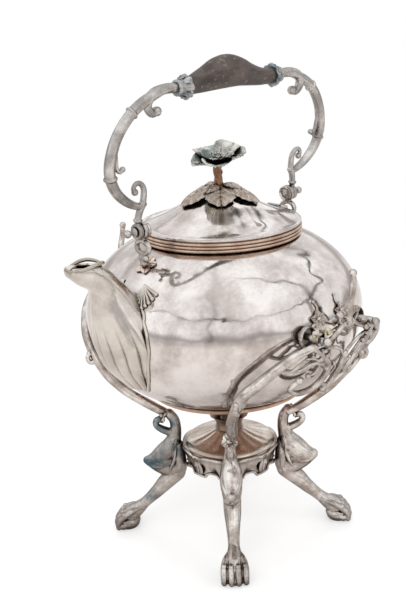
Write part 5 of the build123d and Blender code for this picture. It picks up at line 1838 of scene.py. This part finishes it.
    def build_bracket(self, side: Side) -> None:
        """Cast the pierced bracket of scrolls, leaves and small flowers on one side.

        Args:
            side: Its side.
        """
        bracket, part = Mould(f"pierced_bracket_{side.name.lower()}"), Mould("scrolls")
        for flip in (-1, 1):
            for line, radii, tip, depth in self.paired_scrolls:
                path = [self.cradle(flip * x, rise, depth + 0.02 * flip) for x, rise in line]
                strong = 1.12 if max(radii) > 2.3 else 0.82
                part.tube(path, [r * strong for r in radii], tip=tip * 1.2, flat=0.9, sides=16)
            line = ((-47, -21), (-41, -17), (-36, -13), (-30, -11.5))
            spine = [self.cradle(flip * x, rise, 1.0) for x, rise in line]
            part.leaf(spine, (0, -1, 0), (1.0, 2.2, 2.0, 0.5), thick=1.3, cup=-0.2, veins=3, across=5)
            part.ball(self.cradle(flip * 22.0, -3.4, 1.2), 2.4)
            part.ball(self.cradle(flip * 17.0, -25.0, 1.4), 2.2)
        for line, radii, tip, depth in self.middle_scrolls:
            part.tube([self.cradle(x, rise, depth) for x, rise in line], radii, tip=tip)
        self.flower(part, self.cradle(0, 6.5, 1.6), 5.0)
        for flip in (-1, 1):
            for x, rise in ((24.0, -8.6), (30.5, -11.0), (20.0, -13.0), (26.0, -15.6)):
                part.ball(self.cradle(flip * x, rise, 1.6), 2.0)
        bracket.copy_from(part, *mirror(1, -side.value))
        bracket.cast(Body.STAND, [f"bracket_{side.name.lower()}"], STAND_PLATE, melt=0.5, soften=2)

    def flower(self, mould: Mould, centre: Point, radius: float) -> None:
        """Add a small round flower facing out to the left.

        Args:
            mould: The bracket's mould.
            centre: Its middle.
            radius: Its radius.
        """
        middle = Vector(centre)
        out = Vector((middle.x / 125, -1, 0)).normalized()
        side = out.cross(Vector((0, 0, 1))).normalized()
        widths = (0.8, radius * 0.42, radius * 0.46, 0.5)
        for a in angles(6):
            ray = side * math.cos(a) + Vector((0, 0, 1)) * math.sin(a)
            spine = [middle + ray * (radius * s) + out * (0.9 * s * s) for s in (0.1, 0.4, 0.75, 1.0)]
            mould.leaf(spine, out, widths, thick=1.1, cup=0.2, veins=2, across=4)
        mould.ball(middle + out * 0.9, radius * 0.34)

    def build_horn(self, side: Side) -> None:
        """Cast the upright horn above one bracket, its tip curled over.

        Args:
            side: Its side.
        """
        y = self.cradle(0, 13.0)[1]
        horn, part = Mould(f"stand_horn_{side.name.lower()}"), Mould("horn")
        part.tube(
            [(0, y, 213.5), (0.6, y - 0.8, 219), (1.5, y - 1.5, 226), (4.0, y - 1.8, 236),
             (4.5, y - 1.2, 243)],
            [3.3, 3.1, 2.6, 2.35, 2.2], tip=2.9, sides=20, flutes=3, flute_depth=0.08, twist=0.5,
        )
        part.tube([(4.5, y - 1.2, 243), (6.0, y - 1.0, 243.9), (6.2, y - 0.9, 242)], [1.3, 1.2, 0.9])
        horn.copy_from(part, *mirror(1, -side.value))
        horn.cast(Body.STAND, [f"horn_{side.name.lower()}"], STAND_PLATE, melt=0.4, soften=2)

    def build_keeper(self, side: Side) -> None:
        """Cast the ball-headed pin over one front trunnion.

        Args:
            side: Its side.
        """
        pin = Mould(f"ball_pin_{side.name.lower()}")
        start, height, ball = self.keeper
        y = side.value * self.saddle_y
        shank = [(0, 0), (0.9, 0.2), (1.1, 0.6), (1.1, 13.6), (2.0, 14.0), (2.0, 14.6), (0, 14.6)]
        turned(pin, shank, (start, y, height), (1, 0, 0))
        pin.ball((ball, y, height), 2.9, sides=28)
        pin.cast(Body.STAND, [f"keeper_pin_{side.name.lower()}"], PALE_GILT)

    def build_caps(self) -> None:
        """Cast the small leaves that cover the seams between legs and arms."""
        caps, part = Mould("seam_leaves"), Mould("cap")
        middle = Vector(self.cap_middle)
        out = Vector((0.71, 0.71, 0.45)).normalized()
        across = Vector((0.71, -0.71, 0))
        up = out.cross(across)
        for a in angles(5, 0.3):
            ray = across * math.cos(a) + up * math.sin(a)
            shares = (0.1, 0.4, 0.75, 1.0)
            spine = [middle + ray * (6.6 * s) + out * (1.6 - 0.5 * s) for s in shares]
            part.leaf(spine, out, (1, 2.8, 3.0, 0.5), thick=2.2, cup=-0.2, veins=3, across=4)
        part.ball(middle + out * 1.4, 2.6)
        for end in End:
            for side in Side:
                caps.copy_from(part, *mirror(end.value, side.value))
        caps.cast(Body.STAND, ["leaf_caps"], STAND_PLATE)


# ---------------------------------------------------------------- burner
@dataclass
class Burner:
    """Spirit burner: bowl, coned top, flared neck and wick."""

    flare: Profile = (
        (10.0, 89.3), (11.2, 89.3), (11.0, 90.6), (10.6, 93.3), (11.2, 95.8), (12.6, 97.8),
        (14.6, 99.8), (16.0, 100.8), (15.6, 101.0), (14.2, 100.6), (12.4, 98.9), (11.2, 97.4),
        (9.6, 94.0), (9.6, 91.0),
    )
    bore: float = 7.0
    crown: float = 89.3
    sheet: float = 1.2

    def build(self) -> None:
        """Cast the neck and dress the other pieces."""
        neck = Mould("flared_neck")

        def ribbed(r: float, z: float, a: float) -> tuple[float, float]:
            """Sixteen faint ribs around the flare."""
            return (r + (0.12 * math.cos(16 * a) - 0.12) if r > 10.8 else r), z

        neck.lathe(self.flare, 96, ribbed)
        neck.cast(Body.BURNER, ["burner_neck"], BURNER_DARK)
        self.build_dome()
        dress_nodes(BURNER_PLATE, "font_bowl")
        dress_nodes(PIN_METAL, "wick_tube")
        dress_nodes(WICK_COTTON, "wick")

    def build_dome(self) -> None:
        """Cast the coned top of the font, with shallow flutes."""
        dome = Mould("fluted_dome")
        upper = flow([(37.4, 0, 77.9), (34.2, 0, 81.0), (22, 0, 84.6), (11.2, 0, 89.3)], 1.6)
        lower = flow([(11.2, 0, 88.1), (22, 0, 83.4), (33.2, 0, 79.6), (35, 0, 77.9)], 2.4)
        middle = [(self.bore, self.crown), (self.bore, self.crown - self.sheet)]
        outline = [(r, z) for r, _, z in upper] + middle + [(r, z) for r, _, z in lower]

        def fluted(r: float, z: float, a: float) -> tuple[float, float]:
            """Cone with shallow flutes that fade at its edges."""
            return r, z - 0.35 * (0.5 + 0.5 * math.cos(20 * a)) * ease((r - 12) / 4) * ease((35 - r) / 4)

        dome.lathe(outline, 240, fluted)
        dome.cast(Body.BURNER, ["font_dome"], BURNER_PLATE)


# ---------------------------------------------------------------- studio
@dataclass
class Studio:
    """Camera, lamps, floor and world."""

    azimuth: float = -44.67
    elevation: float = 17.59
    distance: float = 0.79812
    target_height: float = 0.2
    roll: float = -2.5
    lens: float = 58.84
    shift: tuple[float, float] = (-0.034, -0.0088)
    lamps: tuple[Lamp, ...] = (
        ("key", (-0.9, -0.5, 1.3), 1.1, 6.5),
        ("fill", (0.6, -1.2, 0.9), 0.9, 4.0),
        ("rim", (0.7, 0.9, 1.2), 0.8, 4.0),
    )
    aim_height: float = 0.18
    floor_reach: float = 6.0
    floor_fade: tuple[float, float] = (0.1, 0.36)
    paper: Colour = (0.98, 0.98, 0.98)
    paper_in_metal: Colour = (0.7, 0.665, 0.645)
    room_white: Colour = (1.16, 1.16, 1.16)
    room_haze: Colour = (0.5, 0.45, 0.42)
    room_band: Colour = (0.2, 0.165, 0.15)
    room_edge: Colour = (0.02, 0.02, 0.02)

    def build(self) -> None:
        """Set up everything around the kettle."""
        self.place_camera()
        self.place_lamps()
        self.lay_floor()
        self.light_world()

    def place_camera(self) -> None:
        """Camera at the photograph's angle."""
        a, e, roll = (math.radians(v) for v in (self.azimuth, self.elevation, self.roll))
        back = Vector((math.sin(a) * math.cos(e), -math.cos(a) * math.cos(e), math.sin(e)))
        right = Vector((math.cos(a), math.sin(a), 0))
        up = back.cross(right)
        turned_right = right * math.cos(roll) + up * math.sin(roll)
        turned_up = up * math.cos(roll) - right * math.sin(roll)
        data = bpy.data.cameras.new("camera")
        data.sensor_width = 36
        data.lens = self.lens
        data.shift_x, data.shift_y = self.shift
        data.clip_start, data.clip_end = 0.01, 50
        camera = bpy.data.objects.new("camera", data)
        bpy.context.scene.collection.objects.link(camera)
        place = Vector((0, 0, self.target_height)) + back * self.distance
        rows = [(turned_right[i], turned_up[i], back[i], place[i]) for i in range(3)]
        camera.matrix_world = Matrix([*rows, (0, 0, 0, 1)])
        bpy.context.scene.camera = camera

    def place_lamps(self) -> None:
        """Soft lamps above and beside."""
        for name, place, size, power in self.lamps:
            data = bpy.data.lights.new(name, "AREA")
            data.shape, data.size, data.energy = "DISK", size, power
            lamp = bpy.data.objects.new(name, data)
            lamp.visible_glossy = False
            bpy.context.scene.collection.objects.link(lamp)
            lamp.location = place
            aim = Vector((0, 0, self.aim_height)) - Vector(place)
            lamp.rotation_euler = aim.to_track_quat("-Z", "Y").to_euler()

    def lay_floor(self) -> None:
        """Pale floor that keeps the kettle's shadow."""
        mesh = bpy.data.meshes.new("floor")
        corners = ((-1, -1), (1, -1), (1, 1), (-1, 1))
        points = [(x * self.floor_reach, y * self.floor_reach, 0) for x, y in corners]
        mesh.from_pydata(points, [], [(0, 1, 2, 3)])
        floor = bpy.data.objects.new("floor", mesh)
        bpy.context.scene.collection.objects.link(floor)
        paper = bpy.data.materials.new("floor_paper")
        paper.use_nodes = True
        paper.node_tree.nodes.clear()
        g = Graph(paper.node_tree)
        rays = g.node("ShaderNodeLightPath").outputs
        seen = g.mix(rays["Is Glossy Ray"], (*self.paper, 1), (*self.paper_in_metal, 1))
        base = g.node("ShaderNodeBsdfDiffuse", {"Color": seen})
        white = g.node("ShaderNodeEmission", {"Color": (1, 1, 1, 1), "Strength": 1.0})
        away = g.node("ShaderNodeVectorMath", {0: g.place()}, operation="LENGTH").outputs["Value"]
        fade = g.times(g.span(away, *self.floor_fade, 0.5, 1.0), rays["Is Camera Ray"])
        mixed = g.node("ShaderNodeMixShader", {0: fade, 1: base.outputs[0], 2: white.outputs[0]})
        g.node("ShaderNodeOutputMaterial", {"Surface": mixed.outputs[0]})
        mesh.materials.append(paper)
        floor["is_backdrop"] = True

    def light_world(self) -> None:
        """White room: plain white to the camera, softly shaded to the metal."""
        world = bpy.data.worlds.new("white_room")
        bpy.context.scene.world = world
        world.use_nodes = True
        world.node_tree.nodes.clear()
        g = Graph(world.node_tree)
        rays = g.node("ShaderNodeLightPath").outputs
        seen = g.math("MAXIMUM", rays["Is Camera Ray"], rays["Is Transmission Ray"])
        towards = g.node("ShaderNodeTexCoord").outputs["Generated"]
        parts = g.node("ShaderNodeSeparateXYZ", {0: towards}).outputs
        drift = g.times(g.math("SUBTRACT", g.noise(towards, 2.0, 2.0, 0.5), 0.5), 0.5)
        height = g.plus(parts["Z"], drift)
        around = g.plus(g.math("ARCTAN2", parts["Y"], parts["X"]), drift)
        haze = g.times(g.span(g.noise(towards, 1.5, 1.0, 0.5), 0.45, 0.66), 0.3)
        room = g.mix(haze, (*self.room_white, 1), (*self.room_haze, 1))
        low = g.times(g.span(height, -0.12, 0.0), g.span(height, 0.04, 0.2, 1.0, 0.0))
        room = g.mix(g.times(low, 0.62), room, (*self.room_band, 1))
        for value, middle, half in ((height, 0.55, 0.007), (around, -2.6, 0.014), (around, -0.75, 0.02)):
            off = g.math("ABSOLUTE", g.math("SUBTRACT", value, middle))
            line = g.span(off, half * 0.6, half * 1.8, 1.0, 0.0)
            room = g.mix(line, room, (*self.room_edge, 1))
        soft = g.node("ShaderNodeBackground", {"Color": room, "Strength": 1.0})
        plain_white = g.node("ShaderNodeBackground", {"Color": (1, 1, 1, 1), "Strength": 1.0})
        mixed = g.node("ShaderNodeMixShader", {0: seen, 1: soft.outputs[0], 2: plain_white.outputs[0]})
        g.node("ShaderNodeOutputWorld", {"Surface": mixed.outputs[0]})


def main() -> None:
    """Build the kettle, its stand and burner, and the studio."""
    logging.basicConfig(level=logging.INFO, format="%(name)s: %(message)s")
    kettle = KettleBody()
    kettle.build()
    Spout().build(kettle)
    BailMounts().build(kettle)
    Trunnions().build(kettle)
    Lid().build()
    Finial().build()
    Bail().build()
    Stand(kettle=kettle).build()
    Burner().build()
    Studio().build()
    bpy.context.scene.view_settings.view_transform = "Standard"
    {"cad": plain(CAD_BOX), "visual": plain(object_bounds())}


def plain(value: object) -> object:
    """Numbers of a box as plain lists.

    Args:
        value: A number, or rows of numbers.

    Returns:
        The same as floats and lists.
    """
    if isinstance(value, (list, tuple, Vector)):
        return [plain(v) for v in value]
    return float(value)


if __name__ == "__main__":
    main()
